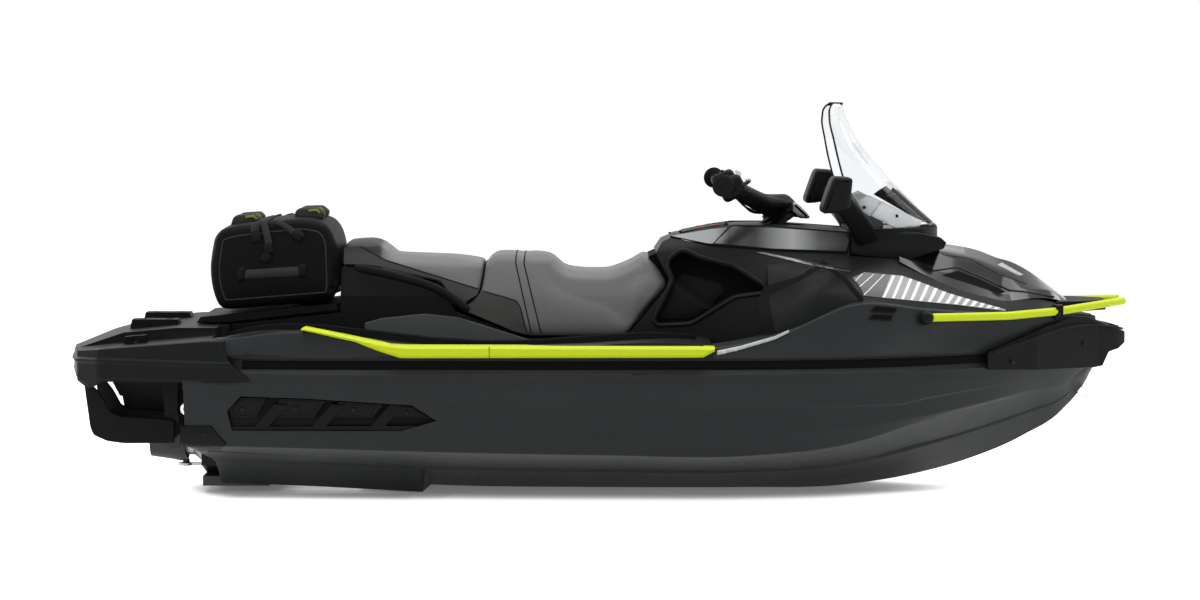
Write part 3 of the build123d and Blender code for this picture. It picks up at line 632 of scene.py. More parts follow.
def hull_table():
    """The offsets with three more points a side: two that make a strake half way up the bottom,
    and a soft knuckle at two fifths of the side, three millimetres out of the straight."""
    rows = []
    for x, keel, low, high, bond in OFFSETS:
        strake, under = ((low[0] * out, keel[1] + (low[1] - keel[1]) * up) for out, up in ((0.55, 0.53), (0.58, 0.6)))
        knuckle = (high[0] + (bond[0] - high[0]) * 0.42 + 3, high[1] + (bond[1] - high[1]) * 0.42)
        rows.append((x, keel, strake, under, low, high, knuckle, bond))
    return rows


HULL = hull_table()
TOPSIDE = [(row[0],) + row[5:] for row in HULL]
HULL_ROUND = [3, 3, 5, 7, SIDE_ROUND]


def hull_y(x, z):
    """Half-breadth of the hull's side at (x, z)."""
    return breadth(TOPSIDE, x, z, [SIDE_ROUND])


def bottom_y(x, z):
    """Half-breadth of the hull at (x, z), from the keel up to the bond line."""
    return breadth(HULL, x, z, HULL_ROUND)


def raised(x, z):
    """The topside above the crease stands out by 8 mm, over a soft step 11 mm high; it draws back
    towards the bond line and towards the bow."""
    t = np.clip((z - read(CREASE, x)) / 11 + 0.5, 0, 1)
    back = np.clip((464 - z) / 36, 0, 1) * np.clip((1500 - x) / 500, 0, 1)
    return 8 * t * t * (3 - 2 * t) * back * back * (3 - 2 * back)


def hull_skin():
    """The hull as three sheets a side: the bottom up to the upper chine, then the topside below
    and above the line that opens round the sponson.  Rows bunch up at the crease, where the side
    steps, and the bottom bulges downwards by up to 6 mm under the chine."""
    bends = [row[0] for row in SPONSON_TOP + SPONSON_FOOT]
    x = np.unique(np.concatenate([spread(STERN, BOW_START, 113), spread(BOW_START, STEM, 30), bends]))
    bottom_points = 1 + 4 * 4                        # the keel, then four corners of four points
    bottom = sections(HULL, x, HULL_ROUND)[:, :bottom_points]
    tunnel_half = np.where(x < TUNNEL_FRONT, TUNNEL_HALF, 0)[:, None]
    sheets = [xyz(x[:, None], np.maximum(bottom[..., 0], tunnel_half), bottom[..., 1])]
    knee_z = bottom[:, -1, 1]
    top_z = sections(HULL, x)[:, -1, 1]
    level = knee_z + (top_z - knee_z) * 0.3
    toward_bow = np.clip((x - 900) / 500, 0, 1)
    foot_z, head_z = (z + (level - z) * toward_bow for z in (read(SPONSON_FOOT, x), read(SPONSON_TOP, x)))
    crease_z = np.clip(read(CREASE, x), head_z + 8, top_z - 8)
    upper = [head_z, *(crease_z + step for step in (-6, -3, 0, 3, 6)), top_z]
    climb = spread(0, 1, 51)
    upper_z = np.stack([np.interp(climb, [0, 0.3, 0.36, 0.42, 0.48, 0.54, 1], row) for row in np.transpose(upper)])
    lower_z = knee_z[:, None] + (foot_z - knee_z)[:, None] * climb
    for z in (lower_z, upper_z):
        xs = np.broadcast_to(x[:, None], z.shape)
        sheets.append(xyz(xs, hull_y(xs, z) + raised(xs, z), z))
    parts = []
    for grid in sheets:
        grid = grid + np.array([0, PROUD, 0])
        deep = np.clip((215 - grid[..., 2]) / 60, 0, 1) * np.clip((1700 - grid[..., 0]) / 200, 0, 1)
        grid[..., 2] -= 6 * deep * np.clip(grid[..., 1] / 60, 0, 1)
        grid[..., 0] = np.maximum(grid[..., 0], read(REAR_CUT, grid[..., 2]))
        parts += pair(mirrored(grid))
    return parts


# ---------------------------------------------------------------- bow, cowl and hood
# Deck edge: x, half-breadth at the bond line, (half-breadth, height) of the edge.
DECK_EDGE = [
    (-1290, 594, (561, 581)), (-1000, 608, (585, 609)), (-670, 615, (605, 565)), (0, 620, (609, 565)),
    (380, 613, (598, 556)), (588, 602, (580, 594)), (874, 557, (502, 696)), (1113, 474, (446, 672)),
    (1330, 362, (366, 652)), (1512, 246, (266, 640)), (1650, 138, (168, 630)), (STEM, 44, (66, 616)),
]
# Up the deck's side: the bond line, the tucked-in band, its upper rim, the edge, and the shelf.
DECK_SIDE = [(x, (b, BOND), (b - 15, BOND + 16), (b - 16, 512), (b - 1 + 0.02 * (e[1] - 556), 526), e,
              (max(e[0] - 30, 10), e[1] + 4), (max(e[0] - 160, 4), e[1])) for x, b, e in DECK_EDGE]
# The cowl: x, foot, stripe foot, stripe head, crease and crown (half-breadth, height).
COWL = [
    (560, (560, 540), (480, 655), (332, 728), (240, 800), (176, 850)),
    (720, (560, 600), (470, 738), (350, 790), (246, 815), (180, 850)),
    (874, (494, 660), (424, 735), (330, 795), (238, 832), (184, 850)),
    (1060, (452, 640), (392, 712), (278, 786), (220, 818), (176, 858)),
    (1250, (392, 630), (335, 694), (256, 732), (188, 788), (120, 862)),
    (1420, (316, 620), (262, 664), (206, 690), (150, 736), (90, 806)),
    (1540, (242, 610), (200, 648), (152, 686), (110, 716), (60, 762)),
    (1648, (156, 600), (128, 626), (98, 654), (68, 668), (34, 680)),
]
# The hood: x, lower edge, crease, shoulder and ridge (half-breadth, height).
HOOD = [
    (1040, (238, 822), (226, 836), (168, 876), (0, 884)), (1120, (262, 780), (222, 808), (160, 866), (0, 880)),
    (1240, (272, 726), (206, 772), (136, 842), (0, 868)), (1340, (248, 700), (184, 730), (112, 814), (0, 848)),
    (1413, (218, 684), (162, 704), (94, 782), (0, 820)), (1456, (198, 686), (150, 716), (84, 764), (0, 808)),
    (1516, (168, 690), (130, 718), (72, 744), (0, 778)), (1592, (126, 684), (98, 708), (52, 716), (0, 724)),
    (1650, (92, 668), (68, 674), (34, 679), (0, 682)),
]
HOOD_ROUND = [8, 26]
COWL_EDGE = [(578, 560), (720, 606), (874, 664), (1060, 646), (1250, 636), (1420, 626), (1540, 616), (1644, 604),
             (1646, 664), (1600, 672), (1516, 692), (1413, 683), (1330, 702), (1240, 727), (1120, 781), (1044, 828),
             (868, 842), (700, 850), (580, 846)]
SCOOP_GAP = [(566, 586), (544, 640), (540, 700), (566, 742), (672, 776), (774, 828), (844, 776), (900, 706),
             (744, 640), (640, 600)]
SCOOP = [(590, 600), (574, 713), (676, 763), (771, 812), (829, 766), (880, 703), (744, 651), (640, 612)]
VENTS = [[(915, 672), (932, 688), (1007, 680), (996, 664)], [(908, 646), (922, 661), (992, 655), (982, 640)]]
# The side decal: its upper and lower edges, the grey field and the black ground behind it.
STRIPE_HEAD = [(909, 792), (950, 788), (1042, 778), (1111, 754), (1197, 720), (1402, 660)]
STRIPE_FOOT = [(865, 775), (886, 751), (899, 719), (1032, 704), (1218, 683), (1402, 656)]
DECAL_FIELD = [(960, 712), (1002, 782), *STRIPE_HEAD[2:], (1402, 655), *STRIPE_FOOT[4:2:-1]]
# Its slashes: how many, where the first starts, their pitch and its shrinking, the lean of the
# first and its shrinking, and the width of the first and its growing.
SLASHES, FIRST, PITCH, CLOSER, LEAN, STEEPER, WIDTH, WIDER = 14, 962, 32.5, 0.16, 46, 2.9, 9, 0.55
DECAL_GROUND = [(865, 775), (909, 792), (1002, 782), (960, 712), (899, 719), (886, 751)]


def cowl_y(x, z):
    """Half-breadth of the cowl at (x, z)."""
    return breadth(COWL, x, z, [24, 30, 40])


def bow_y(x, z):
    """Half-breadth of the deck's side at (x, z)."""
    return breadth([row[:6] for row in DECK_SIDE], x, z)


def hood_y(x, z):
    """Half-breadth of the hood at (x, z)."""
    return breadth(HOOD, x, z, HOOD_ROUND)


def bow_skin():
    """The deck above the bond line: a tucked-in band under a rim, a flaring side up to the deck
    edge, and, round the bow, the shelf inside that edge."""
    rear = [row[:7] for row in DECK_SIDE]
    corners = [6, 5, 8, 6, 12]
    return lofted(DECK_SIDE, spread(380, STEM, 120), corners) + lofted(rear, spread(-1290, 380, 120), corners[:4])


def tucked_band_shade():
    """A black band that paints the shade in the tucked-in band under the deck's rim: a shallow arc from its lower to
    its upper rim.
    """
    x = spread(-1200, 1345, 170)[:, None]
    up = spread(0, 1, 7)
    bond = curve([row[0] for row in DECK_EDGE], [row[1] for row in DECK_EDGE], x[:, 0])[:, None]
    return pair(xyz(x, -(bond - 14.5 + 5 * (1 - (2 * up - 1) ** 2)), 481 + 32 * up))


def cowl_skin():
    """The cowl's flanks, laid on its half-breadths, with a wall that closes them astern."""
    x, z = 578.0, spread(552, 846, 30)
    rim = xyz(x, -cowl_y(np.full(30, x), z), z)
    return side_panel(COWL_EDGE, cowl_y, 0, 16) + pair(np.stack([rim, rim * (1, 0, 1) - (0, 150, 0)]))


def hood_skin():
    """The hood from its lower edge over its creases to the ridge, on both sides, with a skirt
    under the edge, a wall that closes it astern and another at its nose."""
    x = spread(1040, 1650, 90)
    line = sections(HOOD, x, HOOD_ROUND, 5)
    grid = xyz(x[:, None], line[..., 0], line[..., 1])
    grid = np.concatenate([grid[:, :1] - (0, 14, 10), grid], axis=1)
    back, nose = grid[:1].copy(), grid[-1:].copy()
    back[..., 2] = np.minimum(back[..., 2], 818)
    nose[..., 2] = 655
    grid = np.concatenate([back, grid, nose])
    return [sheet(np.concatenate([mirrored(grid), grid[:, ::-1][:, 1:]], axis=1))]


def slash(low, high, width):
    """One slanted stroke of the side decal between two lines, as a four-sided outline."""
    return [low, (low[0] + width, low[1] - 0.08 * width), (high[0] + width, high[1] - 0.2 * width), high]


def decals():
    """The side decal: a grey field with white slashes that lean forward, get shorter and wider
    towards the bow, and three thin strokes on black behind it.  Each is a thin film on the cowl,
    cut to the field's two edges."""
    strokes = []
    for k in range(SLASHES):
        x0 = FIRST + PITCH * k - CLOSER * k * k
        x1 = x0 + LEAN - STEEPER * k
        low, high = (x0, read(STRIPE_FOOT, x0) + 1), (x1, read(STRIPE_HEAD, x1) - 1)
        if high[1] - low[1] > 3:
            strokes.append(slash(low, high, WIDTH + WIDER * k))
    strokes += [slash(low, high, 4) for low, high in (((872, 766), (900, 788)), ((884, 748), (940, 786)),
                                                      ((896, 722), (976, 784)))]
    piece("decal_field", side_panel(DECAL_FIELD, cowl_y, 2.2, 12), DECAL_GREY)
    piece("decal_ground", side_panel(DECAL_GROUND, cowl_y, 2.2, 12), LACQUERED_ABS)
    piece("decal_slashes", [part for s in strokes for part in side_panel(s, cowl_y, 3.0, 10)], DECAL_WHITE)


def bow_group():
    """The bow moulding with its vents, drawn as black sheets of painted shade inside rims, and a black band of
    painted shade in its tucked-in band; the cowl and its side scoops, with painted shade in the scoops' gaps; and the
    hood with its ridges, slots of painted shade and light grey strips of painted highlight."""
    piece("deck_side_skin", bow_skin(), GELCOAT, stands_for=("bow_moulding",))
    # Painted shade: a black band in the tucked-in band under the rim.
    piece("tucked_band_shades", tucked_band_shade(), SHADE_AND_STRIP_BLACK)
    piece("cowl_skin", cowl_skin(), DECK_COAT, stands_for=("cowl",), sharp=40)
    piece("hood_skin", hood_skin(), LACQUERED_ABS, stands_for=("hood",), sharp=26)
    bead = along_side([(1155, 790), (1247, 800), (1340, 762), (1433, 717), (1520, 708), (1595, 690)], hood_y, 0.5, 4)
    bead += along_side([(1200, 842), (1300, 826), (1400, 772), (1500, 736)], hood_y, 0.5, 2.5)
    piece("hood_ridges", bead, LACQUERED_ABS, sharp=60)
    # Painted shade: a black sheet on the hood where its slot falls into shadow.
    slot = [(1186, 776), (1250, 787), (1330, 755), (1420, 712), (1396, 706), (1262, 752)]
    piece("hood_slot_shade", side_panel(slot, hood_y, 1.2, 12, corner=5), SHADE_AND_STRIP_BLACK)
    # Painted highlight: light grey strips where the hood's nose catches the light.
    strip = [(1404, 800), (1424, 806), (1498, 764), (1478, 762)]
    piece("hood_highlight_strips", side_panel(strip, hood_y, 1.6, 10), TRIM_GREY, thick=0.002, inside=-1)
    # Painted shade: black borders where the scoops' gaps fall into shadow.
    piece("scoop_gap_shade", side_panel(SCOOP_GAP, cowl_y, 2, 14, corner=10), SHADE_AND_STRIP_BLACK)
    piece("scoop_panels", domed(SCOOP, cowl_y, 4, 14, 22), SATIN_ABS, stands_for=("side_scoops",))
    # Painted shade: black sheets inside the vent rims, where the openings fall into shadow.
    piece("vent_shade", [part for vent in VENTS for part in side_panel(vent, bow_y, 1.5, 10)], SHADE_AND_STRIP_BLACK)
    piece("vent_rims", [part for vent in VENTS for part in along_side(looped(vent), bow_y, 1.5, 2.2)], GRAINED_PP)
    decals()


# ---------------------------------------------------------------- console
# Stations of the console: x, foot, side, shoulder and top edge (half-breadth, height).
CONSOLE = [
    (60, (200, BOND), (200, 640), (168, 850), (96, 890)), (260, (216, BOND), (214, 700), (176, 866), (112, 912)),
    (400, (240, BOND), (234, 730), (188, 884), (124, 940)), (600, (300, BOND), (280, 730), (200, 862), (182, 946)),
    (868, (320, BOND), (300, 730), (214, 856), (194, 926)),
]
CONSOLE_REAR = [(88, 480), (88, 556), (140, 614), (248, 744), (194, 848), (218, 886), (262, 906)]
CONSOLE_FLANK = [*CONSOLE_REAR, (390, 936), (470, 946), (600, 944), (868, 924), (868, 480)]
KNEE = rounded([(190, 606), (315, 612), (464, 708), (580, 726), (464, 800), (343, 829), (288, 856), (236, 818),
                (262, 757)], 22, 4, closed=True)
KNEE_PAD = [(200, 616), (262, 748), (286, 776), (420, 742), (436, 716), (384, 660), (315, 622)]
SILVER_REAR = [(252, 906), (299, 890), (392, 882), (449, 938), (386, 930)]
SILVER_MAIN = [(398, 884), (462, 940), (600, 938), (856, 920), (866, 892), (856, 858), (600, 866)]
SLIVER = [(540, 853), (560, 856), (719, 824), (860, 802), (860, 794), (719, 814)]
# Openings in the console's top, (x, y): the glove box's recess, the box and the boot's pocket.
GLOVE_RECESS = [(280, -92), (452, -92), (452, 92), (280, 92)]
GLOVE_BOX = [(300, -74), (424, -74), (424, 74), (300, 74)]
BOX_FLOOR, POCKET_FLOOR = 792, 884
BOOT_POCKET = np.stack([646 + 88 * np.cos(turns(40)), 75 * np.sin(turns(40))], axis=1)


def console_y(x, z):
    """Half-breadth of the console at (x, z)."""
    return breadth(CONSOLE, x, z, [60, 14])


def knee_floor(x, z):
    """The recess's floor: 26 mm deep over its lower rear, falling to 72 mm towards its upper edge
    and towards its front."""
    along = (z - 700) * 0.8 + (x - 300) * 0.55
    return console_y(x, z) - 26 - 46 * np.clip((along - 5) / 30, 0, 1)


def crown_z(x, y):
    """Height of the console's top: the crown line with a 5 mm rise between its two edges."""
    half, high = sections(CONSOLE, x)[:, -1].T
    return high - 1 - 5 * np.clip(y / half, -1, 1) ** 2


def shelf_z(x, y):
    """Height of the glove recess's floor at (x, y), which climbs towards the bow in three slopes
    and is level across the craft."""
    return np.interp(x, [280, 386, 430, 452], [897, 914, 921, 921])


def level_at(height):
    """A flat floor at one height."""
    return lambda x, y: height + 0 * x


def console_top():
    """The console's top with the glove box's recess, its box, and the boot's pocket cut in it."""
    x = spread(262, 868, 40)
    half = sections(CONSOLE, x)[:, -1, 0]
    edge = np.concatenate([np.stack([x, half], axis=1), np.stack([x, -half], axis=1)[::-1]])
    box_floor, pocket_floor = level_at(BOX_FLOOR), level_at(POCKET_FLOOR)
    parts = []
    for outline, holes, height in ((edge, [GLOVE_RECESS, BOOT_POCKET], crown_z), (GLOVE_RECESS, [GLOVE_BOX], shelf_z),
                                   (GLOVE_BOX, [], box_floor), (BOOT_POCKET, [], pocket_floor)):
        flat, tris = filled(outline, 14, holes)
        parts.append((mm(np.column_stack([flat, height(flat[:, 0], flat[:, 1])])), tris))
    for outline, head, foot in ((GLOVE_RECESS, crown_z, shelf_z), (GLOVE_BOX, shelf_z, box_floor),
                                (BOOT_POCKET, crown_z, pocket_floor)):
        loop = evenly(looped(outline), 80)[:-1]
        rows = [np.column_stack([loop, z(loop[:, 0], loop[:, 1])]) for z in (head, foot)]
        parts.append(skin(mm(np.stack(rows)), wrap=True))
    return parts


def console_group():
    """The console's flanks with their knee recesses, its rear wall and its top, the pads and frames of the recesses
    with painted shade on their floors, the silver panels with a line of painted shade under them, and a silver sliver
    of painted highlight."""
    rear = evenly(CONSOLE_REAR, 60)
    back = xyz(rear[:, :1], console_y(rear[:, 0], rear[:, 1])[:, None] * spread(-1, 1, 21), rear[:, 1:])
    parts = side_panel(CONSOLE_FLANK, console_y, 0, 16, holes=[KNEE]) + console_top() + [sheet(back)]
    piece("console_skin", parts, DECK_COAT, stands_for=("console",), sharp=40)
    piece("knee_recess_walls", side_wall(KNEE, console_y, 74), GRAINED_PP)
    # Painted shade: the recess floors in black, where the recesses fall into shadow.
    piece("knee_pocket_shade", side_panel(KNEE, knee_floor, 0, 12), SHADE_AND_STRIP_BLACK, sharp=20)
    pads = domed(KNEE_PAD, knee_floor, 3, 9, 16, corner=14)
    piece("knee_recess_pads", pads, RUBBER, stands_for=("knee_pads",), sharp=30)
    piece("knee_frames", along_side(looped(inset_by(KNEE, -9)[0]), console_y, 0, 8, 90), DECK_COAT, sharp=60)
    silver = side_panel(SILVER_REAR, console_y, 4, 12, corner=5) + side_panel(SILVER_MAIN, console_y, 4, 12, corner=5)
    piece("silver_panels", silver, SILVER_WITH_PAINTED_REFLECTIONS, stands_for=("console_panels",), thick=0.006, bevel=0.002, inside=-1)
    # Painted shade: a black line under the silver panels' lower edge.
    under = [(247, 903), (392, 877), (600, 861), (858, 852), (868, 892)]
    piece("silver_panel_gap_shade", along_side(under, console_y, 2, 3.2, 80), SHADE_AND_STRIP_BLACK)
    # Painted highlight: a thin silver sliver where a bright line of light runs along the edge.
    sliver = side_panel(SLIVER, lambda x, z: np.maximum(console_y(x, z), cowl_y(x, z)), 3, 10)
    piece("highlight_slivers", sliver, SILVER_WITH_PAINTED_REFLECTIONS, thick=0.003, inside=-1)


# ---------------------------------------------------------------- cushions and bag
SWELL_RUN = 45               # distance from the rim over which a flank swells


class Cushion:
    """A stuffed form with a side profile.  Its two flanks are the profile drawn in by the edge
    radius and swelling outwards from their rims; between them runs a band whose top crowns
    across the craft; and the whole is scaled sideways with height, so that the flanks lean."""

    def __init__(self, profile, half, edge, swell, crown, lean=((0, 1.0),), corner=30, step=10):
        """Keeps the profile as an evenly spaced ring, and its rim, which is drawn in by the edge."""
        loop = looped(rounded(anticlockwise(profile), corner, 5, closed=True))
        self.ring = evenly(loop, int(distances(loop)[-1] / step) + 1)[:-1]
        self.half, self.edge, self.swell, self.crown, self.lean, self.step = half, edge, swell, crown, lean, step
        self.rim, self.inward = inset_by(self.ring, edge)

    def flank_y(self, x, z):
        """Half-breadth of the swelling flank at (x, z): 1 - exp(-distance from the rim / run)."""
        flat = np.stack([np.ravel(x), np.ravel(z)], axis=1)
        depth = np.maximum(edge_distance(self.rim, flat), 0)
        out = (self.half + self.swell * (1 - np.exp(-depth / SWELL_RUN))) * read(self.lean, flat[:, 1])
        return out.reshape(np.shape(x))

    def parts(self):
        """The band, a quarter circle at each edge and a parabola between them, and the flanks."""
        turn = spread(0, math.pi / 2, 6)
        side_y = self.half - self.edge + self.edge * np.sin(turn)
        side_in = self.edge * (1 - np.cos(turn))
        band = spread(-(self.half - self.edge), self.half - self.edge, 15)[1:-1]
        y = np.concatenate([-side_y[::-1], band, side_y])
        inset = np.concatenate([side_in[::-1], 0 * band, side_in])
        ring = self.ring + self.inward * inset[:, None, None]
        z = ring[..., 1] + self.crown * (1 - (y / self.half) ** 2)[:, None] * np.maximum(-self.inward[:, 1], 0)
        self.grid = xyz(ring[..., 0], y[:, None] * read(self.lean, z), z)
        flat, tris = filled(self.rim, self.step * 1.2)
        face = xyz(flat[:, 0], self.flank_y(flat[:, 0], flat[:, 1]), flat[:, 1])
        return [skin(mm(self.grid), wrap=True), (mm(face), tris), (mm(mirrored(face)), tris)]

    def across(self, x, z):
        """The line across the band through the profile's point nearest (x, z)."""
        return self.grid[:, np.argmin(np.hypot(self.ring[:, 0] - x, self.ring[:, 1] - z))]

    def over(self, x, z, low):
        """A seam that climbs one flank in a straight line from low to the profile's point nearest
        (x, z), crosses the top with the band, and goes down the other flank."""
        line = self.across(x, z)
        rise = np.array(low) + spread(0, 1, 14)[:-1, None] * (line[-1, [0, 2]] - low)
        climb = xyz(rise[:, 0], self.flank_y(rise[:, 0], rise[:, 1]), rise[:, 1])
        return mm(np.concatenate([mirrored(climb), line, climb[::-1]]))


FRAMES = 20
EVEN_GRID = 0.007            # spacing of the simulated skin, in metres
PRESSURE = 4


def remade(obj):
    """Replaces an object's mesh by what its modifiers make of it."""
    made = bpy.data.meshes.new_from_object(obj.evaluated_get(bpy.context.evaluated_depsgraph_get()))
    obj.modifiers.clear()
    obj.data = made


def vertices(mesh):
    """A mesh's vertices as rows (x, y, z)."""
    co = np.empty(3 * len(mesh.vertices))
    mesh.vertices.foreach_get("co", co)
    return co.reshape(-1, 3)


def stuffed(obj, held, most, calm=0):
    """Presses the stuffing out with a cloth simulation: the skin, remade as an even grid, is
    blown up from inside for twenty frames while the places in held stay put, and each point
    moves by at most so many millimetres.  calm is how many times each point's move is averaged
    with its neighbours', which leaves the bulge and takes out the creases."""
    scene = bpy.context.scene
    coat = obj.data.materials[0]
    even = obj.modifiers.new("even grid", "REMESH")
    even.mode = "VOXEL"
    even.voxel_size = EVEN_GRID
    remade(obj)
    start = vertices(obj.data)
    group = obj.vertex_groups.new(name="held")
    group.add(np.flatnonzero(held((start - [0, 0, KEEL]) / MM)).tolist(), 1.0, "REPLACE")
    cloth = obj.modifiers.new("stuffing", "CLOTH")
    cloth.settings.quality = 4
    cloth.settings.use_pressure = True
    cloth.settings.uniform_pressure_force = PRESSURE
    cloth.settings.vertex_group_mass = "held"
    cloth.settings.effector_weights.gravity = 0
    cloth.collision_settings.use_collision = False
    cloth.point_cache.frame_start = 1
    cloth.point_cache.frame_end = FRAMES
    for frame_number in range(1, FRAMES + 1):
        scene.frame_set(frame_number)
    move = vertices(obj.evaluated_get(bpy.context.evaluated_depsgraph_get()).to_mesh()) - start
    obj.modifiers.clear()
    obj.vertex_groups.clear()
    scene.frame_set(1)
    ends = np.array([e.vertices[:] for e in obj.data.edges])
    count = np.maximum(np.bincount(ends.ravel(), minlength=len(move)), 1)[:, None]
    for _ in range(calm):
        total = np.zeros_like(move)
        np.add.at(total, ends[:, 0], move[ends[:, 1]])
        np.add.at(total, ends[:, 1], move[ends[:, 0]])
        move = 0.5 * move + 0.5 * total / count
    size = np.linalg.norm(move, axis=1, keepdims=True)
    start += move * np.minimum(1, most * MM / np.maximum(size, 1e-9))
    obj.data.vertices.foreach_set("co", start.ravel())
    obj.data.materials.clear()
    obj.data.materials.append(coat)
    obj.data.polygons.foreach_set("use_smooth", np.ones(len(obj.data.polygons), bool))
    finer = obj.modifiers.new("finer", "SUBSURF")
    finer.levels = finer.render_levels = 1


SEAT_LEAN = [(500, 1.0), (600, 1.0), (700, 0.925), (790, 0.80), (850, 0.70), (930, 0.68)]
RIDER_PROFILE = [(-254, 558), (88, 558), (136, 618), (243, 745), (170, 838), (103, 798), (32, 771), (-60, 771),
                 (-124, 780), (-172, 826), (-300, 838), (-369, 838), (-400, 812), (-407, 760), (-419, 702),
                 (-486, 648)]
PASSENGER_PROFILE = [(-406, 812), (-480, 818), (-722, 828), (-764, 878), (-896, 878), (-902, 800), (-830, 800),
                     (-700, 773), (-560, 747), (-496, 654), (-424, 704), (-412, 760)]
RIDER_BAND = [[(-293, 842), (-284, 760), (-265, 683), (-237, 566)],
              [(-262, 838), (-254, 760), (-230, 683), (-204, 566)]]
RIDER_PANEL = [(-414, 715), (-289, 680), (-268, 622), (-254, 566), (-300, 576), (-470, 650), (-424, 700)]
PASSENGER_PANEL = [(-897, 866), (-840, 872), (-800, 848), (-750, 822), (-690, 804), (-422, 722), (-430, 702),
                   (-494, 668), (-556, 752), (-690, 784), (-740, 796), (-826, 808), (-897, 808)]
RIDER_EDGE = [(-412, 717), (-330, 695), (-291, 682), (-278, 660), (-268, 622), (-256, 572)]
PASSENGER_EDGE = [(-838, 870), (-800, 848), (-750, 822), (-690, 804), (-620, 782), (-424, 723)]
PASSENGER_FOOT = [(-900, 815), (-700, 788), (-560, 762), (-496, 690)]
# Black blocks of painted shade in the gaps behind and ahead of the rider's cushion: outline, half-width.
GAP_SHADE_BLOCKS = [([(-400, 806), (-404, 760), (-416, 704), (-482, 652), (-487, 655), (-428, 701), (-411, 757),
              (-404, 807)], 120),
            ([(247, 752), (198, 846), (170, 834), (226, 742)], 138)]


def rider_held(points):
    """Held on the rider's cushion: the two seams, the dark panel, the bottom and the rear end."""
    flat = points[:, [0, 2]]
    return (near_lines(RIDER_BAND, flat, 7) | (edge_distance(RIDER_PANEL, flat) > -5) | (flat[:, 1] < 600)
            | (flat[:, 0] < -392))


def passenger_held(points):
    """Held on the passengers' cushion: the dark panel, both ends and the bottom."""
    flat = points[:, [0, 2]]
    return ((edge_distance(PASSENGER_PANEL, flat) > -5) | (flat[:, 0] > -424) | (flat[:, 0] < -880)
            | (flat[:, 1] < read(PASSENGER_FOOT, flat[:, 0])))


def seats():
    """The two seat cushions, their dark side panels, the seams that cross them or edge their panels, and black blocks
    of painted shade in the gaps between the cushions and the console."""
    rider = Cushion(RIDER_PROFILE, 200, 24, 5, 8, SEAT_LEAN, corner=22)
    back = Cushion(PASSENGER_PROFILE, 197, 22, 4, 8, SEAT_LEAN, corner=20)
    front_pad = piece("rider_cushion", rider.parts(), SEAT_VINYL, stands_for=("rider_seat",), sharp=60)
    rear_pad = piece("passenger_cushion", back.parts(), REAR_VINYL, "rear_cushion", ("passenger_seat",), sharp=60)
    stuffed(front_pad, rider_held, 6, 14)
    stuffed(rear_pad, passenger_held, 6, 10)
    piece("rider_side_panels", side_panel(RIDER_PANEL, rider.flank_y, 1.2, 12, corner=4), SEAT_VINYL_DARK, sharp=60)
    piece("passenger_side_panels", side_panel(PASSENGER_PANEL, back.flank_y, 1.2, 12, corner=4), SEAT_VINYL_DARK,
          "rear_cushion", sharp=60)
    beads = [tube(rider.over(-293, 836, (-240, 572)), 0.0022, 8), tube(rider.over(-262, 832, (-206, 572)), 0.0022, 8)]
    piece("rider_seams", beads + along_side(RIDER_EDGE, rider.flank_y, 1.6, 1.8), RUBBER)
    piece("passenger_seams", along_side(PASSENGER_EDGE, back.flank_y, 1.6, 1.8), RUBBER, "rear_cushion")
    # Painted shade: black blocks that fill the gaps beside the rider's cushion.
    gaps = [prism(mm([(x, -half, z) for x, z in line]), (0, 2 * half * MM, 0)) for line, half in GAP_SHADE_BLOCKS]
    piece("cushion_gap_shade", gaps, SHADE_AND_STRIP_BLACK)


def strap(path, width, across):
    """Webbing: a narrow strip carried along a path, with its width along one direction."""
    half = np.array(across) * width / 2
    return sheet(np.stack([path - half, path + half], axis=1))


BAG_PROFILE = [(-1326, 650), (-1352, 722), (-1360, 800), (-1340, 921), (-1282, 942), (-1040, 970), (-954, 956),
               (-920, 900), (-916, 720), (-930, 682)]
BAG_SEAMS = [[(-1175, 700), (-1160, 960)], [(-1090, 900), (-1080, 968)],
             [(-1320, 925), (-1282, 940), (-1040, 968), (-954, 952), (-922, 900)]]
HANDLE_PATCH = [(-1238, 762), (-1232, 793), (-1046, 805), (-1040, 772)]
HANDLE_ENDS = [[(-1264, 752), (-1258, 802), (-1230, 803), (-1236, 755)],
               [(-1050, 766), (-1046, 814), (-1018, 815), (-1022, 768)]]
# Carry handles on the bag's top; the fourth point of each is the rear corner of its lining.
HANDLES = [[(-1300, 936), (-1290, 968), (-1276, 978), (-1212, 982), (-1196, 966), (-1200, 950)],
           [(-1078, 962), (-1070, 992), (-1056, 1002), (-990, 1004), (-966, 984), (-972, 962)]]
HANDLE_SIDES, HANDLE_WIDTH = (-104, 44), 60
LINING = [(-34, -7), (-4, -4), (10, -17), (4, -22), (-8, -13), (-34, -15)]
DROPS = [([(-1196, 958), (-1198, 930), (-1190, 902)], 30),
         ([(-1168, 964), (-1160, 930), (-1150, 880), (-1156, 838)], 24),
         ([(-1128, 966), (-1104, 952), (-1070, 928), (-1046, 904)], 26)]
BUCKLE = np.array([(-16, -20), (-19, 8), (-9, 22), (9, 22), (19, 8), (16, -20)], float)
BUCKLES = [(-1194, 908, 0.1), (-1152, 866, 0.3), (-1160, 836, -0.4), (-1048, 912, 0.8)]      # x, z, turn


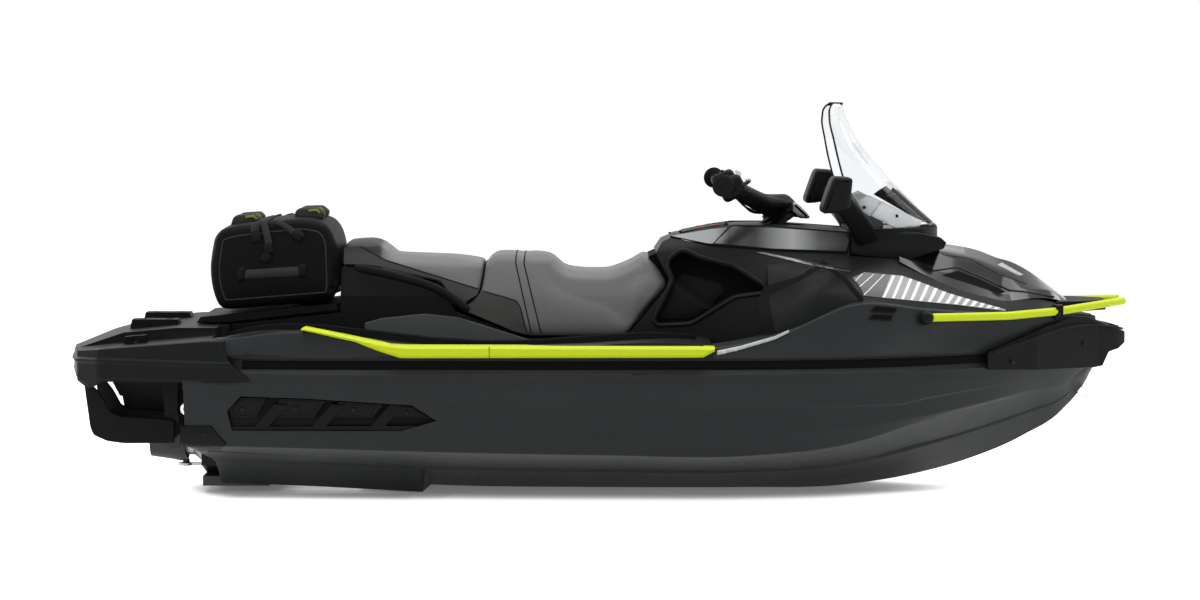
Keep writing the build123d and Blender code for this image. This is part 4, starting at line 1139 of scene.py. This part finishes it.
def bag():
    """The stuffed bag with its piped ends, carry handles, side handle, buckle straps and zip."""
    form = Cushion(BAG_PROFILE, 214, 26, 10, 8, corner=36, step=12)
    shell = piece("stern_bag", form.parts(), BAG_CLOTH, stands_for=("storage_bag",), sharp=60)
    flank = form.flank_y
    gusset = looped(inset_by(form.ring, 34)[0])

    def bag_held(points):
        """Held on the bag: the piped ends, the seams of its panels and top, and the bottom."""
        flat = points[:, [0, 2]]
        return near_lines([gusset], flat, 6) | (flat[:, 1] < 672) | near_lines(BAG_SEAMS, flat, 5)

    stuffed(shell, bag_held, 11)
    piece("bag_piping", along_side(gusset, flank, 0.5, 2.6, 160), WEBBING)
    piece("bag_handle_patch", domed(HANDLE_PATCH, flank, 3, 9, 10, 8, 8), WEBBING, sharp=50)
    for k, end in enumerate(HANDLE_ENDS):
        piece(f"bag_handle_end_{k}", domed(end, flank, 4, 12, 6, 6, 6), RUBBER, sharp=50)
    blocks, bright = [], []
    for outline in HANDLES:
        for y in HANDLE_SIDES:
            blocks += pod(outline, y, y + HANDLE_WIDTH, 8, 9)
            bright += pod(np.array(outline[3], float) + LINING, y - 1.5, y + HANDLE_WIDTH + 1.5, 1, 1)
    piece("bag_handles", blocks, WEBBING, sharp=50)
    piece("bag_handle_linings", bright, YELLOW_LINING, sharp=50)
    drops, clips = [], []
    for line, wide in DROPS:
        shape = smooth_line(line, 14)
        out = flank(shape[:, 0], shape[:, 1]) + 7 + 4 * np.sin(spread(0, 6, 14))
        drops += [strap(xyz(shape[:, 0], side * out, shape[:, 1]), wide, (0.97, 0, 0.24)) for side in (-1, 1)]
    for x, z, turn in BUCKLES:
        spin = np.array([[math.cos(turn), math.sin(turn)], [-math.sin(turn), math.cos(turn)]])
        clips += domed(BUCKLE @ spin + (x, z), flank, 8, 17, 5, 6, 5)
    piece("bag_straps", drops, WEBBING, thick=0.005)
    piece("bag_buckles", clips, RUBBER, sharp=50)
    zip_line = form.across(-1160, 957)[2:-2] + (0, 0, 3)
    piece("bag_zip", [strap(zip_line, 26, (1, 0, 0.1))], RUBBER, thick=0.003)


# ---------------------------------------------------------------- windshield
# The screen: height, foremost x on the centre plane, x of the side edges, and their half-breadth.
SCREEN = [(934, (1196, 900, 196)), (1020, (1106, 872, 222)), (1128, (1000, 838, 226)), (1240, (908, 812, 204)),
          (1320, (868, 799, 160)), (1356, (857, 806, 110)), (1368, (856, 818, 70))]


def screen_rows(z):
    """Foremost x, x of the side edges and half-breadth of the screen at each height."""
    return np.moveaxis(curve([row[0] for row in SCREEN], [row[1] for row in SCREEN], np.ravel(z)), -1, 0)


def screen_grid(z, u):
    """Points of the screen: at each height a quarter-wave arc across the craft, from one side
    edge (u = -1) over the centre plane (0) to the other (1)."""
    front, side, half = screen_rows(z)[..., None]
    turn = u * math.pi / 2
    return xyz(side + (front - side) * np.cos(turn), half * np.sin(turn), z[:, None])


def screen_y(x, z):
    """Half-breadth of the screen at (x, z), from the arc at that height."""
    front, side, half = screen_rows(z)
    share = np.clip((np.ravel(x) - side) / (front - side), 0, 1)
    return (half * np.sqrt(1 - share ** 2)).reshape(np.shape(x))


def windscreen():
    """The screen, its dark edge, the black strut up its middle, the dark strips and frosted
    deflectors at its sides, and their screws."""
    grid = screen_grid(spread(936, 1368, 40), spread(-1, 1, 41))
    piece("screen", [sheet(grid)], POLYCARBONATE, "front_lid", ("windshield",), thick=0.004, sharp=80)
    rim = np.concatenate([grid[:, 0], grid[-1, 1:-1], grid[::-1, -1]])
    piece("screen_edge", [tube(mm(rim), 0.0034, 8)], RUBBER, "front_lid")
    strut = screen_grid(spread(936, 1062, 14), spread(-0.16, 0.16, 9)) - (7, 0, 0)
    piece("screen_strut", [sheet(strut)], GRAINED_PP, "front_lid", thick=0.004)
    strip = [(988, 1040), (1026, 1074), (1178, 948), (1152, 946)]
    pane = [(942, 980), (982, 1030), (1128, 956), (1120, 940), (1030, 936)]
    patch = [(892, 1030), (934, 1052), (978, 1030), (938, 978), (900, 1000)]
    for name, outline, gap, material, thick in (("screen_strips", strip, 8, SHADE_AND_STRIP_BLACK, 0.002),
                                                ("deflectors", pane, 10, FROSTED, 0.003),
                                                ("deflector_patches", patch, 10, TRIM_GREY, 0.003)):
        piece(name, side_panel(outline, screen_y, -5, gap), material, "front_lid", thick=thick)
    heads = []
    for x, z in ((1036, 978), (918, 1010)):
        heads += bolt_pair((x, screen_y(x, z) + 1, z), (0.4, 0.9, 0.2), 6)
    piece("screen_screws", heads, BLACK_ALUMINIUM, "front_lid")


# ---------------------------------------------------------------- steering
TILT = math.radians(32)      # the column's lean from upright
COLUMN_AXES = np.array([(math.cos(TILT), 0, math.sin(TILT)), (0, 1, 0), (-math.sin(TILT), 0, math.cos(TILT))])


def column(points):
    """Points (ahead of the column's axis, y, height along it) in the craft's own axes, in mm."""
    return np.asarray(points, float) @ COLUMN_AXES + (628, 0, 972)


# Cover of the bar: outlines (ahead, up) in the middle, at the bend and at the end.
COVER_MIDDLE = [(-60, 44), (-34, 26), (54, -6), (82, -2), (70, 50), (-30, 82)]
COVER_BEND = [(-72, 76), (-34, 43), (4, 38), (20, 66), (-19, 107), (-63, 113)]
COVER_END = [(-122, 176), (-84, 136), (-58, 138), (-48, 162), (-62, 200), (-114, 212)]
HUMP = [(598, 984), (604, 1016), (628, 1036), (662, 1032), (694, 1012), (722, 986), (736, 970), (728, 964),
        (690, 966), (630, 972)]
CAP = [(682, 1022), (700, 1014), (728, 987), (744, 969), (738, 961), (704, 963), (676, 986)]
CABLE = [(452, -236, 1068), (482, -196, 1036), (528, -130, 992), (566, -58, 982)]
GRIP_START, GRIP_END = (446, 292, 1081), (418, 404, 1092)
RIB_PITCH = 7
COLLAR = [(-10, 12.5), (-10, 22), (-6, 24), (-2, 24), (-1, 12.5)]
LEVER = [(472, 250, 1082), (505, 292, 1098), (512, 330, 1106), (500, 392, 1114)]
LEVER_RADIUS = [(0, 11), (0.15, 8), (0.5, 6.5), (0.9, 7), (0.97, 6), (1, 2)]
# Switch block: distance out, and how far its outline is drawn out (+) or in (-) there.
BLOCK = [(222, -14), (225, -4), (236, 0), (262, 2), (278, -3), (284, -14)]
BUTTONS = [(-112, 228, 6), (-96, 227, 5), (-78, 224, 6)]       # ahead, up, radius


def bar_cover():
    """The cover round the bar: its outline changes smoothly with distance from the centre."""
    y = spread(-222, 222, 60)
    rows = curve([-222, -110, 0, 110, 222], [COVER_END, COVER_BEND, COVER_MIDDLE, COVER_BEND, COVER_END], y)
    loops = rounded(rows, 22, 5, closed=True)
    return solid(column(xyz(loops[..., 0], y[:, None], loops[..., 1])))


def grip(start, end):
    """A ribbed grip turned round the line between two points: a cosine wave of ribs between a
    collar and a flared, rounded end."""
    size = np.linalg.norm(end - start)
    run = spread(4, size - 14, 60)
    ribs = zip(run, 17.2 + 1.1 * np.cos(run * 2 * math.pi / RIB_PITCH))
    flare = [(-14, 20), (-9, 34), (-5, 38), (0, 37), (3, 31), (4, 24), (2, 22), (3, 12), (5, 9), (2, 7), (2, 0.2)]
    profile = [(0, 12), (0, 24), (3, 25), (5, 18), *ribs, *((size + run_on, r) for run_on, r in flare)]
    return spun(profile, start, end - start, 36)


def steering():
    """The cover with its centre hump and cap, the cables' conduits, the switch blocks, the grips
    and the levers."""
    piece("bar_cover_skin", [bar_cover()], GRAINED_PP, "steering", ("bar_cover",), sharp=50)
    piece("bar_hump", pod(HUMP, -43, 43, 18, 14), GRAINED_PP, "steering", sharp=50)
    piece("bar_cap", pod(CAP, -46, 46, 12, 8), CAP_GREY, "steering", sharp=50)
    piece("cable_conduits", tube_pair(smooth_line(CABLE, 20), 4, 10), RUBBER, "steering", sharp=60)
    grips, collars, levers, blocks, buttons = [], [], [], [], []
    for side in (-1, 1):
        start, end = np.array([GRIP_START, GRIP_END]) * (1.0, side, 1.0)
        grips.append(grip(start, end))
        collars.append(spun(COLLAR, start, end - start, 28))
        lever = smooth_line(np.array(LEVER) * (1, side, 1), 30)
        levers.append(tube(mm(lever), read(LEVER_RADIUS, spread(0, 1, 30)) * MM, 14))
        loops = []
        for y, grow in BLOCK:
            shape = rounded([(-136 - grow, 148 - grow), (-50 + grow, 142 - grow), (-44 + grow, 214 + grow),
                             (-128 - grow, 228 + grow)], 22, 5, closed=True)
            loops.append(xyz(shape[:, 0], side * y, shape[:, 1]))
        blocks.append(solid(column(np.stack(loops))))
        for ahead, up, radius in BUTTONS:
            profile = [(-1, radius), (4, radius), (5.5, radius * 0.8), (5.8, 0.2)]
            buttons.append(spun(profile, column((ahead, side * 252, up - 2)), COLUMN_AXES[2], 16))
    piece("bar_grips", grips, RUBBER, "steering", ("grips",), sharp=50)
    piece("grip_collars", collars, BLACK_ALUMINIUM, "steering", sharp=40)
    piece("hand_levers", levers, CAST_ALUMINIUM, "steering", sharp=60)
    piece("switch_blocks", blocks, GRAINED_PP, "steering", ("bar_controls",), sharp=50)
    piece("switch_buttons", buttons, RUBBER, "steering", sharp=40)


# ---------------------------------------------------------------- mirrors, lid and console fittings
MIRROR = [(794, 1124), (856, 1120), (846, 1012), (791, 1001), (755, 999), (751, 1016), (784, 1110)]
MIRROR_INNER, MIRROR_OUTER = 318, 468
ARM_FOOT = np.array([(978, 206, 900), (918, 204, 968), (862, 206, 930), (904, 210, 868)], float)
ARM_HEAD = np.array([(864, 336, 1036), (842, 336, 1098), (800, 338, 1062), (808, 338, 994)], float)
GLASS = [(6, -52), (84, -58), (88, 52), (10, 58)]
GLASS_UP = unit((33, 0, 94))
BIN = (894, 1146, 161)                           # rear end, front end and half-width


def mirrors():
    """The two mirror pods with their glasses, and the arms that carry them from the lid."""
    pods, arms, glasses, rings = [], [], [], []
    for side in (-1, 1):
        pods += pod(MIRROR, *sorted((side * MIRROR_INNER, side * MIRROR_OUTER)), 14, 12)
        t = spread(0, 1, 14)[:, None]
        loops = ARM_FOOT + (ARM_HEAD - ARM_FOOT) * t[..., None]
        loops[..., 2] += 10 * np.sin(t * math.pi)
        flat = rounded(loops[..., [0, 2]], 16, 4, closed=True)
        arms.append(solid(xyz(flat[..., 0], side * loops[:, :1, 1], flat[..., 1])))
        middle = side * (MIRROR_INNER + MIRROR_OUTER) / 2
        glasses += plate((755.5, middle, 1017), GLASS_UP, GLASS, 14)
        loop = looped(rounded(GLASS, 14, 4, closed=True))
        ring = np.array([755, middle, 1017]) + loop[:, :1] * GLASS_UP + loop[:, 1:] * ACROSS
        rings.append(tube(mm(ring), 0.002, 8))
    piece("mirror_pods", pods, GRAINED_PP, "front_lid", ("mirrors",), sharp=50)
    piece("mirror_arms", arms, GRAINED_PP, "front_lid", sharp=50)
    piece("mirror_glasses", glasses, MIRROR_GLASS, "front_lid", thick=0.002)
    piece("mirror_rims", rings, RUBBER, "front_lid", sharp=60)


def console_fittings():
    """The bin's liner and surround under the front lid, the display's glass and the red marks."""
    rear, front, half = BIN
    piece("bin_liner", tub(rear, front, half, 822, 608), GRAINED_PP, thick=0.003, inside=-1, sharp=40)
    half -= 2
    flat, tris = filled([(872, -196), (1062, -190), (1190, -150), (1190, 150), (1062, 190), (872, 196)], 16,
                        [[(rear - 2, -half), (front + 2, -half), (front + 2, half), (rear - 2, half)]])
    z = np.interp(flat[:, 0], [868, 1062, 1206], [838, 812, 850]) - 2
    piece("bin_surround", [(mm(np.column_stack([flat, z])), tris)], GRAINED_PP, thick=0.004, inside=-1)
    up, out = unit((64, 0, 38)), unit((-38, 0, 64))
    glass = plate((886, 0, 963) + out * 1.5, up, [(6, -92), (64, -88), (64, 88), (6, 92)], 8)
    piece("display_glass", glass, DISPLAY_GLASS, "front_lid", thick=0.002)
    marks = [plate((x, 0, z), (0.985, 0, 0.17), [(-11, -64), (11, -60), (11, -48), (-11, -52)], 2)[0]
             for x, z in ((352, 931.5), (402, 940.5))]
    marks += [(mirrored(points), tris) for points, tris in marks]
    piece("red_marks", marks, RED_MARK, "glove_lid", thick=0.002)


# ---------------------------------------------------------------- fittings of the hull's sides
CORNER = [(-1412, 288), (-1310, 288), (-1264, 222), (-1302, 187), (-996, 165), (-938, 100), (-930, 60), (-1331, 60),
          (-1331, 124), (-1358, 172), (-1375, 206), (-1412, 214)]
SPONSON_FACES = [[(-1248, 344), (-1206, 386), (-1122, 384), (-1158, 318), (-1240, 318)],
                 [(-1076, 383), (-994, 381), (-922, 376), (-964, 318), (-1112, 318)],
                 [(-876, 373), (-728, 364), (-766, 318), (-918, 318)],
                 [(-684, 360), (-634, 357), (-574, 318), (-722, 318)]]
SPONSON_SCREWS = [(-1204, 346), (-1024, 350), (-830, 346), (-650, 336)]


def hull_fittings():
    """Corner trims, sponson faces and their screws, and the light trim along the deck's edge."""
    piece("corner_trim_skins", side_panel(CORNER, bottom_y, 9, 12), GRAINED_PP, stands_for=("corner_trims",),
          thick=0.005, bevel=0.0015, inside=-1)
    piece("corner_trim_lines", along_side([(-1340, 186), (-1300, 186), (-996, 164)], bottom_y, 9, 2.2), GRAINED_PP)
    shells, ridges = [], []
    for face in SPONSON_FACES:
        shells += side_panel(face, hull_y, -9, 12, corner=5)
        centre = np.mean(face, axis=0)
        ridges += along_side(looped((face - centre) * 0.8 + centre), hull_y, -9, 1.6)
    piece("sponson_faces", shells, GRAINED_PP, thick=0.02, bevel=0.002, inside=-1)
    piece("sponson_ridges", ridges, GRAINED_PP)
    piece("sponson_screws", side_bolts(SPONSON_SCREWS, hull_y, -8, 9), BLACK_ALUMINIUM)
    trim = [(392, 534), (472, 552), (589, 585), (636, 607), (633, 615), (589, 596), (472, 564), (392, 548)]
    piece("deck_edge_trim", side_panel(trim, bow_y, 4, 8), TRIM_GREY, thick=0.003, inside=-1)
    screws = side_bolts([(-1290, 120), (-1120, 112)], bottom_y, 9, 5) + side_bolts([(-1330, 262)], hull_y, 9, 5)
    piece("trim_screws", screws, BLACK_ALUMINIUM)


# Plan of the platform's edge from its front seam round the stern's corner to the centre, and the
# heights of its top, its ledge and its lower edge along the craft.
PLATFORM_PLAN = [(-1262, 606), (-1480, 581), (-1690, 556), (-1772, 486), (-1806, 350), (-1858, 0)]
PLATFORM_TOP = [(-1858, 514), (-1790, 534), (-1672, 548), (-1330, 577), (-1160, 578)]
PLATFORM_LEDGE = [(-1858, 500), (-1772, 508), (-1680, 512), (-1257, 502), (-1160, 502)]
PLATFORM_FOOT = [(-1858, 487), (-1734, 414), (-1690, 438), (-1160, 438)]
SEAM = [(438, -1169), (443, -1169), (520, -1252), (578, -1262)]          # height, x


def platform_skin():
    """The platform's side: a section with a bevelled top, a ledge and a tucked-under foot, carried
    round the plan of its edge.  Its front end is cut along the slanted seam."""
    path = evenly(rounded(PLATFORM_PLAN, [2, 7, 12, 30], 3), 150)
    ahead = unit(np.gradient(path, axis=0))
    out = np.stack([ahead[:, 1], -ahead[:, 0]], axis=1)
    out *= np.sign(out[:, 1:].sum())
    top, ledge, foot = (read(t, path[:, 0]) for t in (PLATFORM_TOP, PLATFORM_LEDGE, PLATFORM_FOOT))
    rows = [(-34, top + 3), (-12, top + 1), (-1, top - 9), (1, ledge + 9), (8, ledge + 1), (9, ledge - 5),
            (3, ledge - 14), (2, (ledge + foot) / 2), (4, foot + 12), (-2, foot + 3), (-20, foot - 2)]
    grid = np.stack([np.column_stack([path + out * grow, height]) for grow, height in rows], axis=1)
    share = np.clip((grid[..., 0] + 1330) / 68, 0, 1)
    grid[..., 0] += share * (read(SEAM, grid[0, :, 2]) + 1262)
    return pair(grid)


STEP_ARM = [(-1456, 212), (-1456, 288), (-1500, 296), (-1640, 304), (-1674, 320), (-1702, 372), (-1727, 404),
            (-1763, 420), (-1744, 268), (-1733, 240), (-1687, 219), (-1630, 211)]
STEP_ARMS = [(-204, -189), (-421, -407)]
TREAD_RIBS = 9
TREAD = [(-1610, 236), (-1690, 262), (-1712, 300), (-1743, 268), (-1732, 241), (-1686, 220), (-1610, 212)]


def step_skin():
    """The boarding step: two arms with rounded edges, and the tread as one bent sheet between
    them, with raised ribs across it."""
    parts = [part for y0, y1 in STEP_ARMS for part in pod(STEP_ARM, y0, y1, 3, 8)]
    line = rounded(TREAD, [6, 8, 4, 14, 12], 4)
    parts.append(sheet(xyz(line[:, :1], spread(-408, -202, 3), line[:, 1:])))
    for k in range(TREAD_RIBS):
        x, z = -1618 - 8 * k, 241 + 2.6 * k
        parts.append(tube(mm(evenly([(x, -400, z), (x, -210, z)], 4)), 0.0022, 8))
    return parts


HANDLE_LINE = [(-455, 218, 650), (-559, 221, 722), (-698, 221, 768), (-853, 218, 802)]


def grab_handles():
    """The grab handles: an oval bar, 30 mm high and 20 mm through, along a bowed line, with
    rounded-off ends."""
    path = smooth_line(HANDLE_LINE, 50)
    ahead = unit(np.gradient(path, axis=0))
    rise = xyz(-ahead[:, 2], 0, ahead[:, 0])
    turn = turns(20)[:, None]
    fat = np.interp(spread(0, 1, 50), [0, 0.04, 0.96, 1], [0.5, 1, 1, 0.5])[:, None, None]
    return pair(path[:, None] + fat * (15 * np.sin(turn) * rise[:, None] + 10 * np.cos(turn) * ACROSS), solid)


RAIL_TOP = [(-1000, 621), (-988, 626), (-844, 598), (-700, 570), (-644, 566), (330, 563), (384, 560)]
RAIL_FOOT = [(-1000, 616), (-821, 578), (-744, 548), (-671, 525), (-644, 524), (346, 526), (384, 546)]
RAIL_BENDS = [-700, -671, -644, 330, 346]
RAIL_OUT = [(-1004, 606), (-640, 628), (300, 628), (384, 618)]           # x, half-breadth of the outer face


def rails():
    """The gunwale rails as bevelled bars, and the joint across each of them."""
    x = np.unique(np.concatenate([spread(-1000, 384, 110), RAIL_BENDS]))
    hi, lo, out = (read(table, x) for table in (RAIL_TOP, RAIL_FOOT, RAIL_OUT))
    cut = np.minimum(6, (hi - lo) * 0.3)
    section = [(out - 52, lo), (out - 9, lo), (out - 1.5, lo + cut), (out + 1.5, lo + cut + 3),
               (out + 1.5, hi - cut - 4), (out - 1.5, hi - cut), (out - 9, hi), (out - 52, hi + 0.5)]
    bars = pair(np.stack([xyz(x, -y, z) for y, z in section], axis=1), solid)
    piece("rail_bars", bars, YELLOW_PE, stands_for=("gunwale_rails",), sharp=28)
    y = -(read(RAIL_OUT, -370) + 1.2)
    piece("rail_joints", tube_pair(evenly([(-370, y, 564.6), (-370, y, 525)], 6), 1.2, 6), RUBBER)


RIDGE = [(1345, 406, 520), (1512, 300, 566), (1600, 236, 588), (1700, 152, 594), (1800, 78, 584), (1850, 36, 572)]


def bow_fittings():
    """The ridge along the bow bumper's upper facet, its screws, and one at each rail's clamp."""
    piece("bumper_ridge", tube_pair(mirrored(smooth_line(RIDGE, 50) + (2, 2, 0)), 4, 10), GRAINED_PP)
    heads = []
    for centre, axis, radius in (((1420, 352, 486), (0.5, 0.86, 0), 8), ((1700, 150, 530), (0.5, 0.86, 0), 8),
                                 ((1593, 264, 640), (0.3, 0.95, 0), 6)):
        heads += bolt_pair(centre, axis, radius)
    piece("bumper_screws", heads, BLACK_ALUMINIUM)


# ---------------------------------------------------------------- finishing of the CAD pieces
# The CAD pieces that are drawn as they are: their material, and their bevels' widths in metres.
FINISH = [
    (GELCOAT, {"hull": 0.0015}), (DECK_COAT, {"deck": 0.0015}), (LIGHTENED_COVER_COAT, {"side_covers": 0.004}),
    (GRAINED_PP, {"bow_bumper": 0.004, "bow_plate": 0.003, "bow_rail_sockets": 0.002, "accessory_base": 0.003,
                  "mooring_cleats": 0.002, "seat_pedestal": 0.004, "luggage_rack": 0.004, "sponsons": 0.002,
                  "glove_box_lid": 0.003, "front_lid": 0.003, "windshield_base": 0.002, "steering_head": 0.003}),
    (CHARCOAL_PP, {"stern_platform": 0.005}), (LACQUERED_ABS, {"gauge_display": 0.003}),
    (YELLOW_PE, {"bow_rails": 0}), (EVA_MAT, {"footwell_mats": 0.001}), (CAST_IRON, {"engine": 0.004}),
    (BLACK_ALUMINIUM, {"handlebar": 0}), (CAST_ALUMINIUM, {"pump_housing": 0.0015, "intake_grate": 0.002}),
    (PAINTED_ALUMINIUM, {"steering_nozzle": 0.0015, "reverse_bucket": 0.002, "ride_plate": 0.002}),
    (STAINLESS, {"impeller": 0.0005, "bow_eye": 0.001, "stern_eyes": 0.001}),
]
finishes = {node: (material, bevel) for material, bevels in FINISH for node, bevel in bevels.items()}
for node in frame["nodes"]:
    if node in finishes:
        finished(node, *finishes[node])
bow_group()
console_group()
seats()
bag()
windscreen()
steering()
mirrors()
console_fittings()
piece("hull_skin", hull_skin(), GELCOAT)
hull_fittings()
piece("platform_skin", platform_skin(), CHARCOAL_PP, sharp=26)
piece("step_skin", step_skin(), GRAINED_PP, "step", ("boarding_step",), sharp=40)
piece("grab_handle_bars", grab_handles(), SATIN_ABS, BODY_OF["grab_handles"], ("grab_handles",), sharp=60)
rails()
bow_fittings()

# ---------------------------------------------------------------- floor, light and camera
WHITE = (1.0, 1.0, 1.0, 1.0)
FLOOR_REACH = 60
EYE = (0, -10, KEEL + 1.464)
LOOK_AT = (0, 0, KEEL + 0.670)


def seen_directly(tree):
    """1 for the rays that show the background itself: from the camera, through glass and off
    gloss; 0 for those that only carry light to a surface."""
    rays = add(tree, "ShaderNodeLightPath")
    direct = add(tree, "ShaderNodeMath", [(rays, "Is Camera Ray", 0), (rays, "Is Transmission Ray", 1)],
                 operation="MAXIMUM")
    return add(tree, "ShaderNodeMath", [(direct, 0, 0), (rays, "Is Glossy Ray", 1)], operation="MAXIMUM")


def bare_tree(owner):
    """The emptied node tree of a material or a world."""
    owner.use_nodes = True
    owner.node_tree.nodes.clear()
    return owner.node_tree


def studio_floor():
    """A pale floor just under the keel: seen directly it is white but for a soft shadow where the
    craft is near, from the share of open sky; to other rays it is a pale matt sheet."""
    mesh = bpy.data.meshes.new("floor")
    corners = [(-1, -1), (1, -1), (1, 1), (-1, 1)]
    mesh.from_pydata([(a * FLOOR_REACH, b * FLOOR_REACH, KEEL - 0.001) for a, b in corners], [], [(0, 1, 2, 3)])
    floor = bpy.data.objects.new("floor", mesh)
    bpy.context.scene.collection.objects.link(floor)
    material = bpy.data.materials.new("pale studio floor")
    tree = bare_tree(material)
    paint = add(tree, "ShaderNodeBsdfDiffuse", Color=linear("#e8e8e8"))
    near = add(tree, "ShaderNodeAmbientOcclusion", Distance=0.11)
    near.samples = 8
    open_sky = add(tree, "ShaderNodeMapRange", [(near, "AO", "Value")], interpolation_type="SMOOTHSTEP",
                   From_Min=0.3, From_Max=0.95, To_Min=0.12, To_Max=0.9)
    glow = add(tree, "ShaderNodeEmission", [(open_sky, "Result", "Strength")], Color=WHITE)
    bounce = add(tree, "ShaderNodeEmission", Color=WHITE, Strength=0.05)
    shown = add(tree, "ShaderNodeAddShader", [(paint, 0, 0), (glow, 0, 1)])
    lifted = add(tree, "ShaderNodeAddShader", [(paint, 0, 0), (bounce, 0, 1)])
    pick = add(tree, "ShaderNodeMixShader", [(seen_directly(tree), 0, 0), (lifted, 0, 1), (shown, 0, 2)])
    add(tree, "ShaderNodeOutputMaterial", [(pick, 0, "Surface")])
    mesh.materials.append(material)


def surround():
    """The world: white where it is seen directly, and a dim pale grey as a source of light."""
    world = bpy.data.worlds.new("studio surround")
    bpy.context.scene.world = world
    tree = bare_tree(world)
    room = add(tree, "ShaderNodeBackground", Color=linear("#d9dcdf"), Strength=0.3)
    white = add(tree, "ShaderNodeBackground", Color=WHITE, Strength=1.0)
    pick = add(tree, "ShaderNodeMixShader", [(seen_directly(tree), 0, 0), (room, 0, 1), (white, 0, 2)])
    add(tree, "ShaderNodeOutputWorld", [(pick, 0, "Surface")])


def placed(name, data, place, aim):
    """An object at a place whose -Z axis looks at a point."""
    obj = bpy.data.objects.new(name, data)
    obj.location = place
    look = np.asarray(aim, float) - np.array(obj.location)
    obj.rotation_euler = Vector(look).to_track_quat("-Z", "Y").to_euler()
    bpy.context.scene.collection.objects.link(obj)
    return obj


def lamp(name, place, aim, size, power):
    """A soft rectangular lamp at a place, turned to face a point."""
    data = bpy.data.lights.new(name, "AREA")
    data.shape = "RECTANGLE"
    data.size, data.size_y = size
    data.energy = power
    placed(name, data, place, aim)


def camera():
    """A long lens off the starboard side, just above the screen's top, that looks slightly down."""
    data = bpy.data.cameras.new("camera")
    data.sensor_width = 36
    data.lens = 84.6
    bpy.context.scene.camera = placed("camera", data, EYE, LOOK_AT)


studio_floor()
surround()
lamp("overhead", (0.2, -0.4, 5.0), (0, 0, 0.3), (8.0, 4.6), 360)
lamp("front fill", (0.5, -6.5, 2.6), (0, 0, 0.2), (6.0, 2.5), 40)
lamp("bow rim", (5.0, 2.0, 2.2), (0.6, 0, 0.4), (2.0, 2.5), 70)
lamp("bow side", (4.5, -4.0, 1.0), (1.2, -0.2, 0.1), (1.6, 1.6), 45)
lamp("stern side", (-4.6, -2.6, 1.2), (-1.7, -0.4, 0.2), (1.4, 1.4), 36)
lamp("stern rim", (-5.0, 2.5, 2.4), (-0.8, 0, 0.4), (2.0, 2.5), 90)
camera()
bpy.context.scene.view_settings.view_transform = "Standard"
